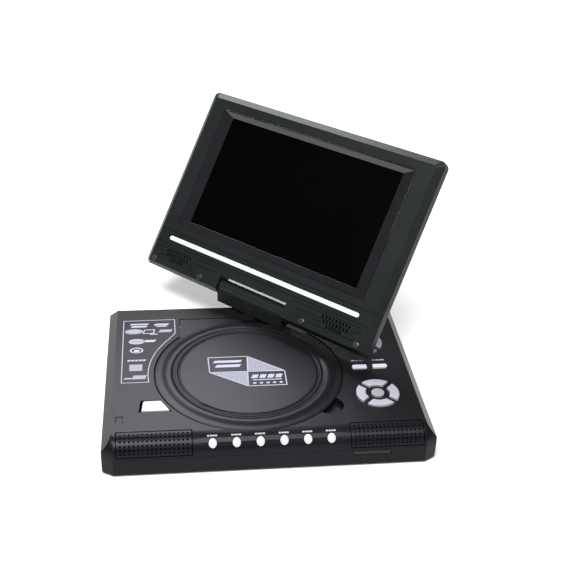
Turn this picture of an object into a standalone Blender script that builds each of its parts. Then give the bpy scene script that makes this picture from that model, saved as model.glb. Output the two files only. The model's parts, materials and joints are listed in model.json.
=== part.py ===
"""Portable disc player: a base with a disc lid and keys, and a screen on a swivelling hinge.

The origin is the middle of the base's underside. +X is the base's right, +Y its rear and +Z up.
Every object is one piece. Empties carry the swivel and the tilt axes.
"""

import math

import bmesh
import bpy
from mathutils import Matrix, Vector

MM = 0.001
GAP = 0.3 * MM  # air left between neighbouring pieces
BIG = 0.4  # longer than anything here, for cutters that go right through
BIG_ROUND = 72  # sides of the lid and its well
ROUND = 32  # sides of knobs and hubs
SMALL_ROUND = 16  # sides of pins and small holes

# Base housing
BASE_WIDTH = 239 * MM
BASE_FRONT = -90.5 * MM
BASE_REAR = 90.2 * MM
BASE_HEIGHT = 27 * MM
WALL = 2.2 * MM
SLOPE_OUT = 7 * MM
SLOPE_DROP = 9 * MM
ROLL_RADIUS = 12.5 * MM
PARTING = 13.5 * MM
CORNER_CUT = 8 * MM
CORNER_CUT_DEPTH = 4.5 * MM
UNDER_BEVEL = 0.8 * MM
TOP_HALF = BASE_WIDTH / 2 - SLOPE_OUT
ROLL_Y = BASE_FRONT + ROLL_RADIUS
ROLL_Z = BASE_HEIGHT - ROLL_RADIUS

# Disc lid, its recess and the well for the disc
LID_X = -10.5 * MM
LID_Y = -9 * MM
DISC_RADIUS = 60 * MM
WELL_MARGIN = 3 * MM
WELL_RADIUS = DISC_RADIUS + WELL_MARGIN
LEDGE_WIDTH = 9 * MM
LID_RADIUS = WELL_RADIUS + LEDGE_WIDTH
LID_CLEARANCE = 0.45 * MM
LID_PLATE = 2.6 * MM
LID_RISE = 1.2 * MM
LID_TAB_HALF = 51 * MM
LID_TAB_REAR = 66.5 * MM
LID_RIB_DEPTH = 5.5 * MM
LID_RIB_WIDTH = 5.2 * MM
LID_AXIS_Y = 59.2 * MM
LID_AXIS_DROP = 3 * MM
LID_REAR_CLEARANCE = 0.8 * MM
LID_NOTCH_HALF = 10.6 * MM
LID_PIN_RADIUS = 1 * MM
RECESS_WALL = 2 * MM
LEDGE = 2 * MM
WELL_FLOOR = 15.6 * MM
WELL_FLOOR_THICKNESS = 1.7 * MM
FINGER_RADIUS = 10.3 * MM
FINGER_DEPTH = 1.6 * MM
FINGER_ANGLE = math.radians(-39.5)
HATCH_WIDTH = 28 * MM
HATCH_HUB_RADIUS = 16 * MM

# Swivel and tilt hinge of the screen
SWIVEL_Y = 70.7 * MM
HINGE_HEIGHT = 15 * MM
SWIVEL_AT_REST = math.radians(-43.5)
TILT_AT_REST = math.radians(-36)
BLOCK_HALF = 33.7 * MM
BLOCK_DEPTH = 7 * MM
BLOCK_DROP = 11.5 * MM
BARREL_RADIUS = 6 * MM
BARREL_SLIT = 1.9 * MM
TURRET_RADIUS = BARREL_RADIUS + BARREL_SLIT - GAP  # clears the notch when the screen lies flat
SHAFT_RADIUS = 4.8 * MM
SHAFT_FOOT = 12.7 * MM
BOSS_RADIUS = 8 * MM
BOSS_FOOT = 15.8 * MM
RETAINER_RADIUS = 8.2 * MM
RETAINER_THICKNESS = 2 * MM
HINGE_PIN_RADIUS = 1.5 * MM
HINGE_PIN_SEAT = 3.2 * MM

# Screen, in its own frame: x to its right, y to its back, z up, origin on the tilt axis
PICTURE_WIDTH = 172 * MM
PICTURE_HEIGHT = 97 * MM
SIDE_BORDER = 30 * MM
TOP_BORDER = 18.5 * MM
CHIN = 40 * MM  # from the tilt axis up to the picture
SCREEN_HALF = PICTURE_WIDTH / 2 + SIDE_BORDER
PICTURE_Z = CHIN + PICTURE_HEIGHT / 2
SCREEN_TOP = CHIN + PICTURE_HEIGHT + TOP_BORDER
SCREEN_BOTTOM = -6.8 * MM
SCREEN_FRONT = -8.2 * MM
SCREEN_BACK = 5.7 * MM
SCREEN_SPLIT = -0.85 * MM
SCREEN_CORNER = 5 * MM
SCREEN_BEVEL = 5.5 * MM
SCREEN_BEVEL_DEPTH = 4.5 * MM
SCREEN_BACK_BEVEL = 2.5 * MM
SCREEN_WALL = 2.2 * MM
FRAME_WIDTH = 6 * MM
PICTURE_BEVEL = 10.2 * MM
PICTURE_BEVEL_HIGH = 5.7 * MM
PICTURE_DEPTH = 1.1 * MM
PANEL_MARGIN = 2 * MM
PANEL_THICKNESS = 3.2 * MM
NOTCH_HALF = BLOCK_HALF + 2 * GAP
NOTCH_TOP = BARREL_RADIUS + BARREL_SLIT
HINGE_PIN_HALF = NOTCH_HALF + HINGE_PIN_SEAT
STRIP_Z = 21 * MM
STRIP_HALF = SCREEN_HALF - 16.3 * MM
STRIP_HEIGHT = 4.6 * MM
STRIP_DEPTH = 0.9 * MM
CAP_RADIUS = 2.8 * MM
CAP_Z = -0.6 * MM
CAP_INNER_X = 53.5 * MM
CAP_OUTER_X = SCREEN_HALF - 10.5 * MM
CAP_RISE = 1 * MM

# Keys
KEY_CLEARANCE = 0.35 * MM
KEY_RISE = 1.2 * MM
KEY_BODY = 4.5 * MM
NAV_X = BASE_WIDTH / 2 - 36 * MM
NAV_MIDDLE_Y = -9.4 * MM
NAV_SPACING = 67.3 * MM
NAV_RADIUS = 16.6 * MM
NAV_HOLE_RADIUS = 8.75 * MM
NAV_CENTRE_RADIUS = 5.4 * MM
NAV_GAP = 3.2 * MM
PILL_WIDTH = 11.4 * MM
PILL_HEIGHT = 4.4 * MM
PILL_SPACING = 16.2 * MM
OPEN_KEY = ((-91.2, -42.0), (-78.6, -42.4), (-71.4, -54.2), (-92.6, -54.4))  # mm, clockwise
OPEN_KEY_RISE = 0.8 * MM
OPEN_KEY_GAP = 1.1 * MM
FRONT_KEYS = 6
FRONT_KEY_SPACING = 16.8 * MM
FRONT_KEY_HALF_WIDTH = 3.15 * MM
FRONT_KEY_HALF_HEIGHT = 3.75 * MM
FRONT_KEY_ANGLE = math.radians(48)
FRONT_KEY_RISE = 1.6 * MM
WINDOW_X = 12.3 * MM - BASE_WIDTH / 2
WINDOW_Y = -62.4 * MM
WINDOW_WIDTH = 5 * MM
WINDOW_LENGTH = 7 * MM

# Speakers
GRILLE_WIDTH = 53.6 * MM
GRILLE_INNER_X = BASE_WIDTH / 2 - 10 * MM - GRILLE_WIDTH
GRILLE_FLAT = 2 * MM
GRILLE_THICKNESS = 1.4 * MM
GRILLE_SUNK = 0.3 * MM
GRILLE_COLUMNS = 8
GRILLE_ROWS = 3
GRILLE_END_ANGLE = math.radians(88)
SPEAKER_X = GRILLE_INNER_X + GRILLE_WIDTH / 2
SPEAKER_Y = -70 * MM
SPEAKER_RADIUS = 13 * MM

# Disc drive
CHASSIS_FOOT = WALL + 1.4 * MM
CHASSIS_THICKNESS = 1.2 * MM
MOTOR_RADIUS = 9.5 * MM
MOTOR_TOP = 11 * MM
PLATTER_RADIUS = 13.5 * MM
PLATTER_FOOT = 16.1 * MM
PLATTER_THICKNESS = 1.6 * MM
HUB_RADIUS = 7.3 * MM
HUB_HEIGHT = 2.9 * MM
SPINDLE_RADIUS = 1 * MM
RAIL_SPACING = 36 * MM
RAIL_RADIUS = 1.5 * MM
RAIL_Z = 9 * MM
RAIL_START = 2 * MM
SLED_START = 14 * MM
SLED_LENGTH = 20 * MM
LENS_RADIUS = 3.4 * MM
LENS_OUTER = DISC_RADIUS - 2 * MM  # the lens's distance from the spindle when fully out
SLED_TRAVEL = LENS_OUTER - SLED_START - SLED_LENGTH / 2
RAIL_END = SLED_START + SLED_LENGTH + SLED_TRAVEL + 4 * MM
HATCH_LENGTH = LENS_OUTER + LENS_RADIUS + GAP
SCREW_RADIUS = 1.5 * MM
SCREW_OFFSET = 26 * MM
SLED_MOTOR_RADIUS = 4.5 * MM
SLED_MOTOR_LENGTH = 15 * MM

# Sockets, switch and feet
SOCKET_Z = 7.4 * MM
DC_Y = 36 * MM
DC_HOLE_RADIUS = 2.2 * MM
PHONES_Y = 18 * MM
PHONES_HOLE_RADIUS = 1.8 * MM
SOCKET_LENGTH = 12 * MM
SWITCH_Y = -2 * MM
SWITCH_WIDTH = 6 * MM
SWITCH_HEIGHT = 2.6 * MM
SWITCH_TRAVEL = 4 * MM
SWITCH_RISE = 0.9 * MM
CARD_X = BASE_WIDTH / 2 - 47.5 * MM
CARD_Z = 10.4 * MM
CARD_WIDTH = 28 * MM
CARD_HEIGHT = 3.2 * MM
FOOT_RADIUS = 5 * MM
FOOT_HEIGHT = 1.5 * MM
FOOT_SEAT = 0.8 * MM
FOOT_X = BASE_WIDTH / 2 - 19.5 * MM
FOOT_FRONT_Y = BASE_FRONT + 14.5 * MM
FOOT_REAR_Y = BASE_REAR - 14.2 * MM
PILLAR_RADIUS = 3.5 * MM

MATERIALS = {
    "housing": ((0.022, 0.022, 0.026), 0.48, 0.0),
    "screen_shell": ((0.026, 0.029, 0.028), 0.5, 0.0),
    "key": ((0.80, 0.80, 0.88), 0.35, 0.0),
    "panel": ((0.002, 0.002, 0.003), 0.12, 0.0),
    "trim": ((0.78, 0.79, 0.82), 0.25, 0.6),
    "steel": ((0.55, 0.56, 0.58), 0.3, 1.0),
    "rubber": ((0.02, 0.02, 0.02), 0.8, 0.0),
    "board": ((0.02, 0.16, 0.07), 0.5, 0.0),
    "inner": ((0.09, 0.09, 0.10), 0.55, 0.0),
    "cell": ((0.10, 0.18, 0.42), 0.45, 0.0),
    "cone": ((0.05, 0.05, 0.05), 0.9, 0.0),
    "lens": ((0.25, 0.35, 0.55), 0.05, 0.0),
    "window": ((0.05, 0.006, 0.010), 0.1, 0.0),
}


def clear_scene():
    for old in list(bpy.data.objects):
        bpy.data.objects.remove(old, do_unlink=True)


def material(name):
    found = bpy.data.materials.get(name)
    if found:
        return found
    colour, roughness, metallic = MATERIALS[name]
    made = bpy.data.materials.new(name)
    made.use_nodes = True
    shader = made.node_tree.nodes["Principled BSDF"]
    shader.inputs["Base Color"].default_value = (*colour, 1.0)
    shader.inputs["Roughness"].default_value = roughness
    shader.inputs["Metallic"].default_value = metallic
    made.diffuse_color = (*colour, 1.0)
    return made


def finish_mesh(name, mesh_builder):
    bmesh.ops.recalc_face_normals(mesh_builder, faces=mesh_builder.faces)
    mesh = bpy.data.meshes.new(name)
    mesh_builder.to_mesh(mesh)
    mesh_builder.free()
    made = bpy.data.objects.new(name, mesh)
    bpy.context.scene.collection.objects.link(made)
    return made


def loft(name, rings):
    """A closed solid through rings of equal point counts, with a cap at each end."""
    builder = bmesh.new()
    loops = [[builder.verts.new(point) for point in ring] for ring in rings]
    count = len(rings[0])
    for lower, upper in zip(loops, loops[1:]):
        for i in range(count):
            j = (i + 1) % count
            builder.faces.new((lower[i], lower[j], upper[j], upper[i]))
    builder.faces.new(loops[0])
    builder.faces.new(loops[-1])
    return finish_mesh(name, builder)


def prism(name, outline, low, high):
    """An outline in X and Y, raised from low to high."""
    return loft(name, [[(x, y, z) for x, y in outline] for z in (low, high)])


def box(name, low, high):
    outline = [(low[0], low[1]), (high[0], low[1]), (high[0], high[1]), (low[0], high[1])]
    return prism(name, outline, low[2], high[2])


def circle(radius, centre=(0, 0), sides=ROUND, second_radius=None):
    other = second_radius or radius
    steps = [2 * math.pi * (i + 0.5) / sides for i in range(sides)]
    return [(centre[0] + radius * math.cos(a), centre[1] + other * math.sin(a)) for a in steps]


def cylinder(name, radius, low, high, centre=(0, 0), sides=ROUND, second_radius=None):
    return prism(name, circle(radius, centre, sides, second_radius), low, high)


def rod_along_x(name, radius, start, end, y, z, sides=SMALL_ROUND):
    rings = [[(x, y + a, z + b) for a, b in circle(radius, (0, 0), sides)] for x in (start, end)]
    return loft(name, rings)


def lathe(name, profile, centre, sides):
    """Turns (radius, z) points about a vertical axis; the first and last points close on the axis."""
    rings = [[(centre[0] + x, centre[1] + y, z) for x, y in circle(r, (0, 0), sides)] for r, z in profile]
    return loft(name, rings)


def rounded_rectangle(half_width, low, high, radius, steps=4):
    points = []
    centres = ((1, 1, 0), (-1, 1, 90), (-1, -1, 180), (1, -1, 270))
    for side, upper, start in centres:
        x = side * (half_width - radius)
        z = high - radius if upper > 0 else low + radius
        for i in range(steps + 1):
            angle = math.radians(start + 90 * i / steps)
            points.append((x + radius * math.cos(angle), z + radius * math.sin(angle)))
    return points


def placed(target, matrix):
    target.data.transform(matrix)
    return target


def apply_boolean(target, tools, operation):
    """Cuts or joins each tool in turn, keeps the result as the target's mesh and removes the tools."""
    for tool in tools:
        step = target.modifiers.new("step", "BOOLEAN")
        step.solver = "EXACT"
        step.operation = operation
        step.object = tool
        graph = bpy.context.evaluated_depsgraph_get()
        result = bpy.data.meshes.new_from_object(target.evaluated_get(graph))
        target.modifiers.clear()
        target.data = result
        bpy.data.objects.remove(tool, do_unlink=True)
    return target


def cut(target, *tools):
    return apply_boolean(target, tools, "DIFFERENCE")


def join(target, *tools):
    return apply_boolean(target, tools, "UNION")


def piece(target, name, finish, parent=None, pivot=None):
    """Names and paints a piece, puts its origin on its axis and parents it."""
    target.name = name
    target.data.name = name
    target.data.materials.clear()
    target.data.materials.append(material(finish))
    if pivot:
        target.data.transform(Matrix.Translation(-Vector(pivot)))
        target.location = pivot
    if parent:
        target.parent = parent
    target.data.shade_smooth()
    target.data.set_sharp_from_angle(angle=math.radians(35))
    return target


# ---------------------------------------------------------------- base housing


def side_at(z):
    """Half the base's width at a height: sloping near the top, then straight."""
    drop = min(max(BASE_HEIGHT - z, 0), SLOPE_DROP)
    return TOP_HALF + SLOPE_OUT * drop / SLOPE_DROP


def front_at(z, radius):
    rise = min(max(z - ROLL_Z, 0), radius)
    return ROLL_Y - math.sqrt(radius**2 - rise**2)


def base_ring(z, inset):
    """The base's outline at a height, moved in by a wall."""
    share = min(max(BASE_HEIGHT - z, 0), SLOPE_DROP) / SLOPE_DROP
    half = side_at(z) - inset
    rear = BASE_REAR - SLOPE_OUT * (1 - share) - inset
    front = front_at(z, ROLL_RADIUS - inset)
    face_half = BASE_WIDTH / 2 - CORNER_CUT - inset
    back_step = CORNER_CUT_DEPTH * (0.2 + 0.8 * share)
    return [
        (-half, rear, z),
        (-half, front + back_step, z),
        (-face_half, front, z),
        (face_half, front, z),
        (half, front + back_step, z),
        (half, rear, z),
    ]


def roll_levels(inset):
    """Heights from the top plate down the front roll, with the slope's foot among them."""
    radius = ROLL_RADIUS - inset
    levels = [ROLL_Z + radius * math.cos(math.radians(a)) for a in (0, 15, 30, 45, 60, 90)]
    return sorted(levels + [BASE_HEIGHT - SLOPE_DROP], reverse=True)


def roll_point(angle, offset):
    """A point on the front roll in Y and Z, offset outwards."""
    radius = ROLL_RADIUS + offset
    return ROLL_Y - radius * math.sin(angle), ROLL_Z + radius * math.cos(angle)


def grille_path(offset, flat, end_angle, steps=6):
    """Points in Y and Z along the top plate's front edge and down the roll."""
    path = [(ROLL_Y + flat, BASE_HEIGHT + offset)]
    path += [roll_point(end_angle * i / steps, offset) for i in range(steps + 1)]
    return path


def grille_cutter(side):
    low = GRILLE_INNER_X if side > 0 else -GRILLE_INNER_X - GRILLE_WIDTH
    outer = grille_path(2 * MM, GRILLE_FLAT, GRILLE_END_ANGLE)
    inner = grille_path(-2 * WALL, GRILLE_FLAT, GRILLE_END_ANGLE)
    section = outer + inner[::-1]
    return loft("cutter", [[(x, y, z) for y, z in section] for x in (low, low + GRILLE_WIDTH)])


def turret_block(low, high):
    """The part of the top cover that stands in the lid's notch and carries the turret."""
    half = LID_NOTCH_HALF - LID_CLEARANCE
    front = LID_AXIS_Y + LID_AXIS_DROP + 2 * GAP
    return box("block", (-half, front, low), (half, SWIVEL_Y, high))


def lid_recess_cutter():
    """Room for the lid: a disc and a square tab at the rear, with the turret's block left standing."""
    low, high = recess_floor(), BASE_HEIGHT + MM
    half = LID_TAB_HALF + LID_CLEARANCE
    shape = cylinder("cutter", LID_RADIUS + LID_CLEARANCE, low, high, (LID_X, LID_Y), BIG_ROUND)
    rear = LID_TAB_REAR + LID_REAR_CLEARANCE
    tab = box("tab", (LID_X - half, tab_front(), low), (LID_X + half, rear, high))
    return cut(join(shape, tab), turret_block(low - MM, high + MM))


def finger_centre():
    return (
        LID_X + (LID_RADIUS + LID_CLEARANCE) * math.cos(FINGER_ANGLE),
        LID_Y + (LID_RADIUS + LID_CLEARANCE) * math.sin(FINGER_ANGLE),
    )


def recess_floor():
    return BASE_HEIGHT - LID_PLATE - 2 * GAP


def lid_axis_z():
    return BASE_HEIGHT - LID_AXIS_DROP


def tab_front():
    """Where the tab starts, well inside the lid's disc."""
    return LID_Y + LID_TAB_HALF / 2


def hinge_pocket():
    """Limits in Y and Z of the room that the lid's rib and tab need to turn through a full opening."""
    swing = math.hypot(LID_RIB_WIDTH / 2, LID_RIB_DEPTH - LID_AXIS_DROP) + 2 * GAP
    rear = LID_TAB_REAR + LID_REAR_CLEARANCE
    floor = lid_axis_z() - (LID_TAB_REAR - LID_AXIS_Y) - 2 * GAP
    return LID_AXIS_Y - swing, rear, floor


def lid_blocks():
    """Solid regions that stay when the top cover is hollowed: ledges, well, hinge pocket and boss."""
    top = BASE_HEIGHT
    ledge_low = recess_floor() - LEDGE
    wide = LID_RADIUS + LID_CLEARANCE + RECESS_WALL
    ledge = cylinder("block", wide, ledge_low, top, (LID_X, LID_Y), BIG_ROUND)
    half = LID_TAB_HALF + LID_CLEARANCE + RECESS_WALL
    front, rear, floor = hinge_pocket()
    tab = box("tab", (LID_X - half, tab_front(), ledge_low), (LID_X + half, rear, top))
    pocket_low = (LID_X - half, front - RECESS_WALL, floor - RECESS_WALL)
    pocket = box("pocket", pocket_low, (LID_X + half, rear + RECESS_WALL, top))
    well_low = WELL_FLOOR - WELL_FLOOR_THICKNESS
    well = cylinder("well", WELL_RADIUS + RECESS_WALL, well_low, top, (LID_X, LID_Y), BIG_ROUND)
    boss = cylinder("boss", BOSS_RADIUS, BOSS_FOOT, top, (0, SWIVEL_Y))
    finger_low = ledge_low - FINGER_DEPTH
    finger = cylinder("finger", FINGER_RADIUS + RECESS_WALL, finger_low, top, finger_centre())
    access = cylinder("access", RETAINER_RADIUS + 2 * GAP, 0, BOSS_FOOT, (0, SWIVEL_Y))
    return cut(join(ledge, tab, pocket, well, boss, finger), access)


def top_cover_cavity():
    levels = [z for z in roll_levels(WALL) if z <= BASE_HEIGHT - WALL + 1e-9]
    rings = [base_ring(z, WALL) for z in levels]
    rings.append(base_ring(PARTING - MM, WALL))
    return cut(loft("cavity", rings), lid_blocks())


def nav_outline(quarter, grow):
    """One arc key of a ring: a quarter between the two diagonals, less half the gap on each side."""
    outer = NAV_RADIUS + grow
    inner = NAV_HOLE_RADIUS - grow
    half_gap = NAV_GAP / 2 - grow
    middle = math.pi / 2 * quarter
    outer_angle = math.pi / 4 - math.asin(half_gap / outer)
    inner_angle = math.pi / 4 - math.asin(half_gap / inner)
    steps = 8
    spread = [2 * i / steps - 1 for i in range(steps + 1)]
    outer_angles = [middle + outer_angle * s for s in spread]
    inner_angles = [middle - inner_angle * s for s in spread]
    points = [(outer * math.cos(a), outer * math.sin(a)) for a in outer_angles]
    return points + [(inner * math.cos(a), inner * math.sin(a)) for a in inner_angles]


def nav_centres():
    return {"lower": NAV_MIDDLE_Y - NAV_SPACING / 2, "upper": NAV_MIDDLE_Y + NAV_SPACING / 2}


def shifted(outline, x, y):
    return [(x + px, y + py) for px, py in outline]


def pill_outline(side, grow):
    """A flat bar with a tapered outer end."""
    half = PILL_WIDTH / 2 + grow
    high = PILL_HEIGHT / 2 + grow
    taper = PILL_HEIGHT / 3
    points = [(-half, -high), (half - taper, -high), (half, -high + taper)]
    points += [(half, high - taper), (half - taper, high), (-half, high)]
    centre = side * PILL_SPACING / 2
    return [(NAV_X + centre + side * x, NAV_MIDDLE_Y + y) for x, y in points]


def open_key_outline(grow, front_grow=0.0):
    """The release key: a bar whose right end follows the lid. Its hole is wider behind and beside it."""
    left = OPEN_KEY[3][0] * MM - grow
    low = OPEN_KEY[3][1] * MM - front_grow
    high = OPEN_KEY[0][1] * MM + grow
    return [
        (left, low),
        (OPEN_KEY[2][0] * MM + 1.6 * grow, low),
        (OPEN_KEY[1][0] * MM + 0.6 * grow, high),
        (OPEN_KEY[0][0] * MM - grow, high),
    ]


def front_key_matrix(index):
    """Stands a key on the front roll: its local Z points out of the roll."""
    x = (index - (FRONT_KEYS - 1) / 2) * FRONT_KEY_SPACING
    y, z = roll_point(FRONT_KEY_ANGLE, 0)
    return Matrix.Translation((x, y, z)) @ Matrix.Rotation(FRONT_KEY_ANGLE, 4, "X")


def front_key_cutter(index):
    width = FRONT_KEY_HALF_WIDTH + KEY_CLEARANCE
    height = FRONT_KEY_HALF_HEIGHT + KEY_CLEARANCE
    hole = cylinder("cutter", width, -3 * WALL, 3 * MM, sides=20, second_radius=height)
    return placed(hole, front_key_matrix(index))


def key_cutters():
    low, high = BASE_HEIGHT - 2 * WALL, BASE_HEIGHT + MM
    cutters = [prism("cutter", open_key_outline(OPEN_KEY_GAP, KEY_CLEARANCE), low, high)]
    for centre_y in nav_centres().values():
        for quarter in range(4):
            outline = shifted(nav_outline(quarter, KEY_CLEARANCE), NAV_X, centre_y)
            cutters.append(prism("cutter", outline, low, high))
        hole = NAV_CENTRE_RADIUS + KEY_CLEARANCE
        cutters.append(cylinder("cutter", hole, low, high, (NAV_X, centre_y), 24))
    cutters += [prism("cutter", pill_outline(side, KEY_CLEARANCE), low, high) for side in (-1, 1)]
    cutters += [front_key_cutter(i) for i in range(FRONT_KEYS)]
    half_x, half_y = WINDOW_WIDTH / 2 + GAP, WINDOW_LENGTH / 2 + GAP
    window_low = (WINDOW_X - half_x, WINDOW_Y - half_y, low)
    cutters.append(box("cutter", window_low, (WINDOW_X + half_x, WINDOW_Y + half_y, high)))
    return cutters


def hatch_cutter():
    """The opening in the well's floor for the hub and the travelling pickup."""
    low, high = WELL_FLOOR - 2 * WELL_FLOOR_THICKNESS, WELL_FLOOR + MM
    hub = cylinder("cutter", HATCH_HUB_RADIUS, low, high, (LID_X, LID_Y))
    slot_high = (LID_X + HATCH_LENGTH, LID_Y + HATCH_WIDTH / 2, high)
    slot = box("slot", (LID_X, LID_Y - HATCH_WIDTH / 2, low), slot_high)
    return join(hub, slot)


def hinge_pocket_cutter():
    """Room under the lid's tab for its hinge rib and its rear edge to turn."""
    half = LID_TAB_HALF + LID_CLEARANCE
    front, rear, floor = hinge_pocket()
    pocket = box("cutter", (LID_X - half, front, floor), (LID_X + half, rear, BASE_HEIGHT))
    return cut(pocket, turret_block(floor - MM, BASE_HEIGHT + MM))


def lid_pin_half():
    return LID_TAB_HALF + LID_CLEARANCE + RECESS_WALL


def make_top_cover():
    levels = roll_levels(0) + [PARTING + GAP / 2]
    cover = loft("cover", [base_ring(z, 0) for z in levels])
    cut(cover, top_cover_cavity())
    cut(cover, lid_recess_cutter())
    cut(cover, cylinder("well", WELL_RADIUS, WELL_FLOOR, BASE_HEIGHT, (LID_X, LID_Y), BIG_ROUND))
    cut(cover, hatch_cutter(), hinge_pocket_cutter())
    finger_low = recess_floor() - FINGER_DEPTH
    cut(cover, cylinder("finger", FINGER_RADIUS, finger_low, BASE_HEIGHT + MM, finger_centre()))
    cut(cover, cylinder("hole", SHAFT_RADIUS + GAP, BOSS_FOOT - MM, BASE_HEIGHT + MM, (0, SWIVEL_Y)))
    pin_hole = LID_PIN_RADIUS + GAP
    reach = lid_pin_half() + MM
    cut(cover, rod_along_x("hole", pin_hole, LID_X - reach, LID_X + reach, LID_AXIS_Y, lid_axis_z()))
    cut(cover, *key_cutters())
    cut(cover, grille_cutter(-1), grille_cutter(1))
    return piece(cover, "base_top_cover", "housing")


def bottom_ring(z, inset):
    bevel = max(UNDER_BEVEL - z, 0)
    points = base_ring(PARTING, inset + bevel)
    return [(x, y, z) for x, y, _ in points]


def foot_places():
    return {
        "front_left": (-FOOT_X, FOOT_FRONT_Y),
        "front_right": (FOOT_X, FOOT_FRONT_Y),
        "rear_left": (-FOOT_X, FOOT_REAR_Y),
        "rear_right": (FOOT_X, FOOT_REAR_Y),
    }


def side_hole(radius, y):
    reach = BASE_WIDTH / 2
    return rod_along_x("cutter", radius, reach - 2 * WALL, reach + MM, y, SOCKET_Z)


def make_bottom_cover():
    top = PARTING - GAP / 2
    cover = loft("cover", [bottom_ring(z, 0) for z in (0, UNDER_BEVEL, top)])
    cavity = loft("cavity", [[(x, y, z) for x, y, _ in bottom_ring(top, WALL)] for z in (WALL, top + MM)])
    cut(cover, cavity)
    pillar_x = BASE_WIDTH / 2 - WALL - 2 * PILLAR_RADIUS
    for x in (-pillar_x, pillar_x):
        for y in (-42 * MM, BASE_REAR - WALL - 2.5 * PILLAR_RADIUS):
            join(cover, cylinder("pillar", PILLAR_RADIUS, WALL / 2, top, (x, y), SMALL_ROUND))
    for x, y in foot_places().values():
        cut(cover, cylinder("seat", FOOT_RADIUS + GAP, -MM, FOOT_SEAT, (x, y), 24))
    cut(cover, side_hole(DC_HOLE_RADIUS + GAP, DC_Y), side_hole(PHONES_HOLE_RADIUS + GAP, PHONES_Y))
    half_y = (SWITCH_WIDTH + SWITCH_TRAVEL) / 2 + GAP
    half_z = SWITCH_HEIGHT / 2 + GAP
    reach = BASE_WIDTH / 2
    slot_low = (reach - 2 * WALL, SWITCH_Y - half_y, SOCKET_Z - half_z)
    cut(cover, box("slot", slot_low, (reach + MM, SWITCH_Y + half_y, SOCKET_Z + half_z)))
    half_card, half_slot = CARD_WIDTH / 2, CARD_HEIGHT / 2
    card_low = (CARD_X - half_card, BASE_FRONT - MM, CARD_Z - half_slot)
    cut(cover, box("slot", card_low, (CARD_X + half_card, BASE_FRONT + 2 * WALL, CARD_Z + half_slot)))
    return piece(cover, "base_bottom_cover", "housing")


def make_feet():
    for name, (x, y) in foot_places().items():
        foot = cylinder("foot", FOOT_RADIUS, -FOOT_HEIGHT, FOOT_SEAT - GAP, (x, y), 24)
        piece(foot, f"foot_{name}", "rubber")


# ---------------------------------------------------------------- lid


def lid_profile():
    """The lid's outer half-section, from its underside over the rim and the raised ring to its middle."""
    low = BASE_HEIGHT - LID_PLATE
    top = BASE_HEIGHT
    rise = LID_RISE
    return [
        (LID_RADIUS, low),
        (LID_RADIUS, top - 0.5 * MM),
        (LID_RADIUS - 0.6 * MM, top + 0.05 * rise),
        (LID_RADIUS - 6 * MM, top + 0.9 * rise),
        (LID_RADIUS - 9.5 * MM, top + rise),
        (LID_RADIUS - 12.5 * MM, top + 0.35 * rise),
        (LID_RADIUS - 15 * MM, top + rise),
        (LID_RADIUS - 17.6 * MM, top + rise),
        (LID_RADIUS - 18.6 * MM, top + 0.2 * rise),
        (LID_RADIUS - 19.4 * MM, top + 0.5 * rise),
        (0.1 * MM, top + 0.6 * rise),
    ]


def make_lid():
    lid = lathe("lid", lid_profile(), (LID_X, LID_Y), BIG_ROUND)
    low = BASE_HEIGHT - LID_PLATE
    half = LID_TAB_HALF
    tab_low = (LID_X - half, tab_front(), low)
    tab = box("tab", tab_low, (LID_X + half, LID_TAB_REAR, BASE_HEIGHT - 0.1 * MM))
    rib_half = half - MM
    reach = LID_RIB_WIDTH / 2
    rib_low = (LID_X - rib_half, LID_AXIS_Y - reach, BASE_HEIGHT - LID_RIB_DEPTH)
    rib = box("rib", rib_low, (LID_X + rib_half, LID_AXIS_Y + reach, BASE_HEIGHT - LID_PLATE / 2))
    join(lid, tab, rib)
    notch_low = (-LID_NOTCH_HALF, LID_AXIS_Y, BASE_HEIGHT - LID_RIB_DEPTH - MM)
    cut(lid, box("notch", notch_low, (LID_NOTCH_HALF, LID_TAB_REAR + MM, BASE_HEIGHT + 2 * MM)))
    bore = rod_along_x("bore", LID_PIN_RADIUS + GAP, LID_X - half, LID_X + half, LID_AXIS_Y, lid_axis_z())
    cut(lid, bore)
    piece(lid, "disc_lid", "housing", pivot=(LID_X, LID_AXIS_Y, lid_axis_z()))
    pin_start, pin_end = LID_X - lid_pin_half(), LID_X + lid_pin_half()
    pin = rod_along_x("pin", LID_PIN_RADIUS, pin_start, pin_end, LID_AXIS_Y, lid_axis_z())
    piece(pin, "lid_hinge_pin", "steel")


# ---------------------------------------------------------------- keys and speakers


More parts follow.
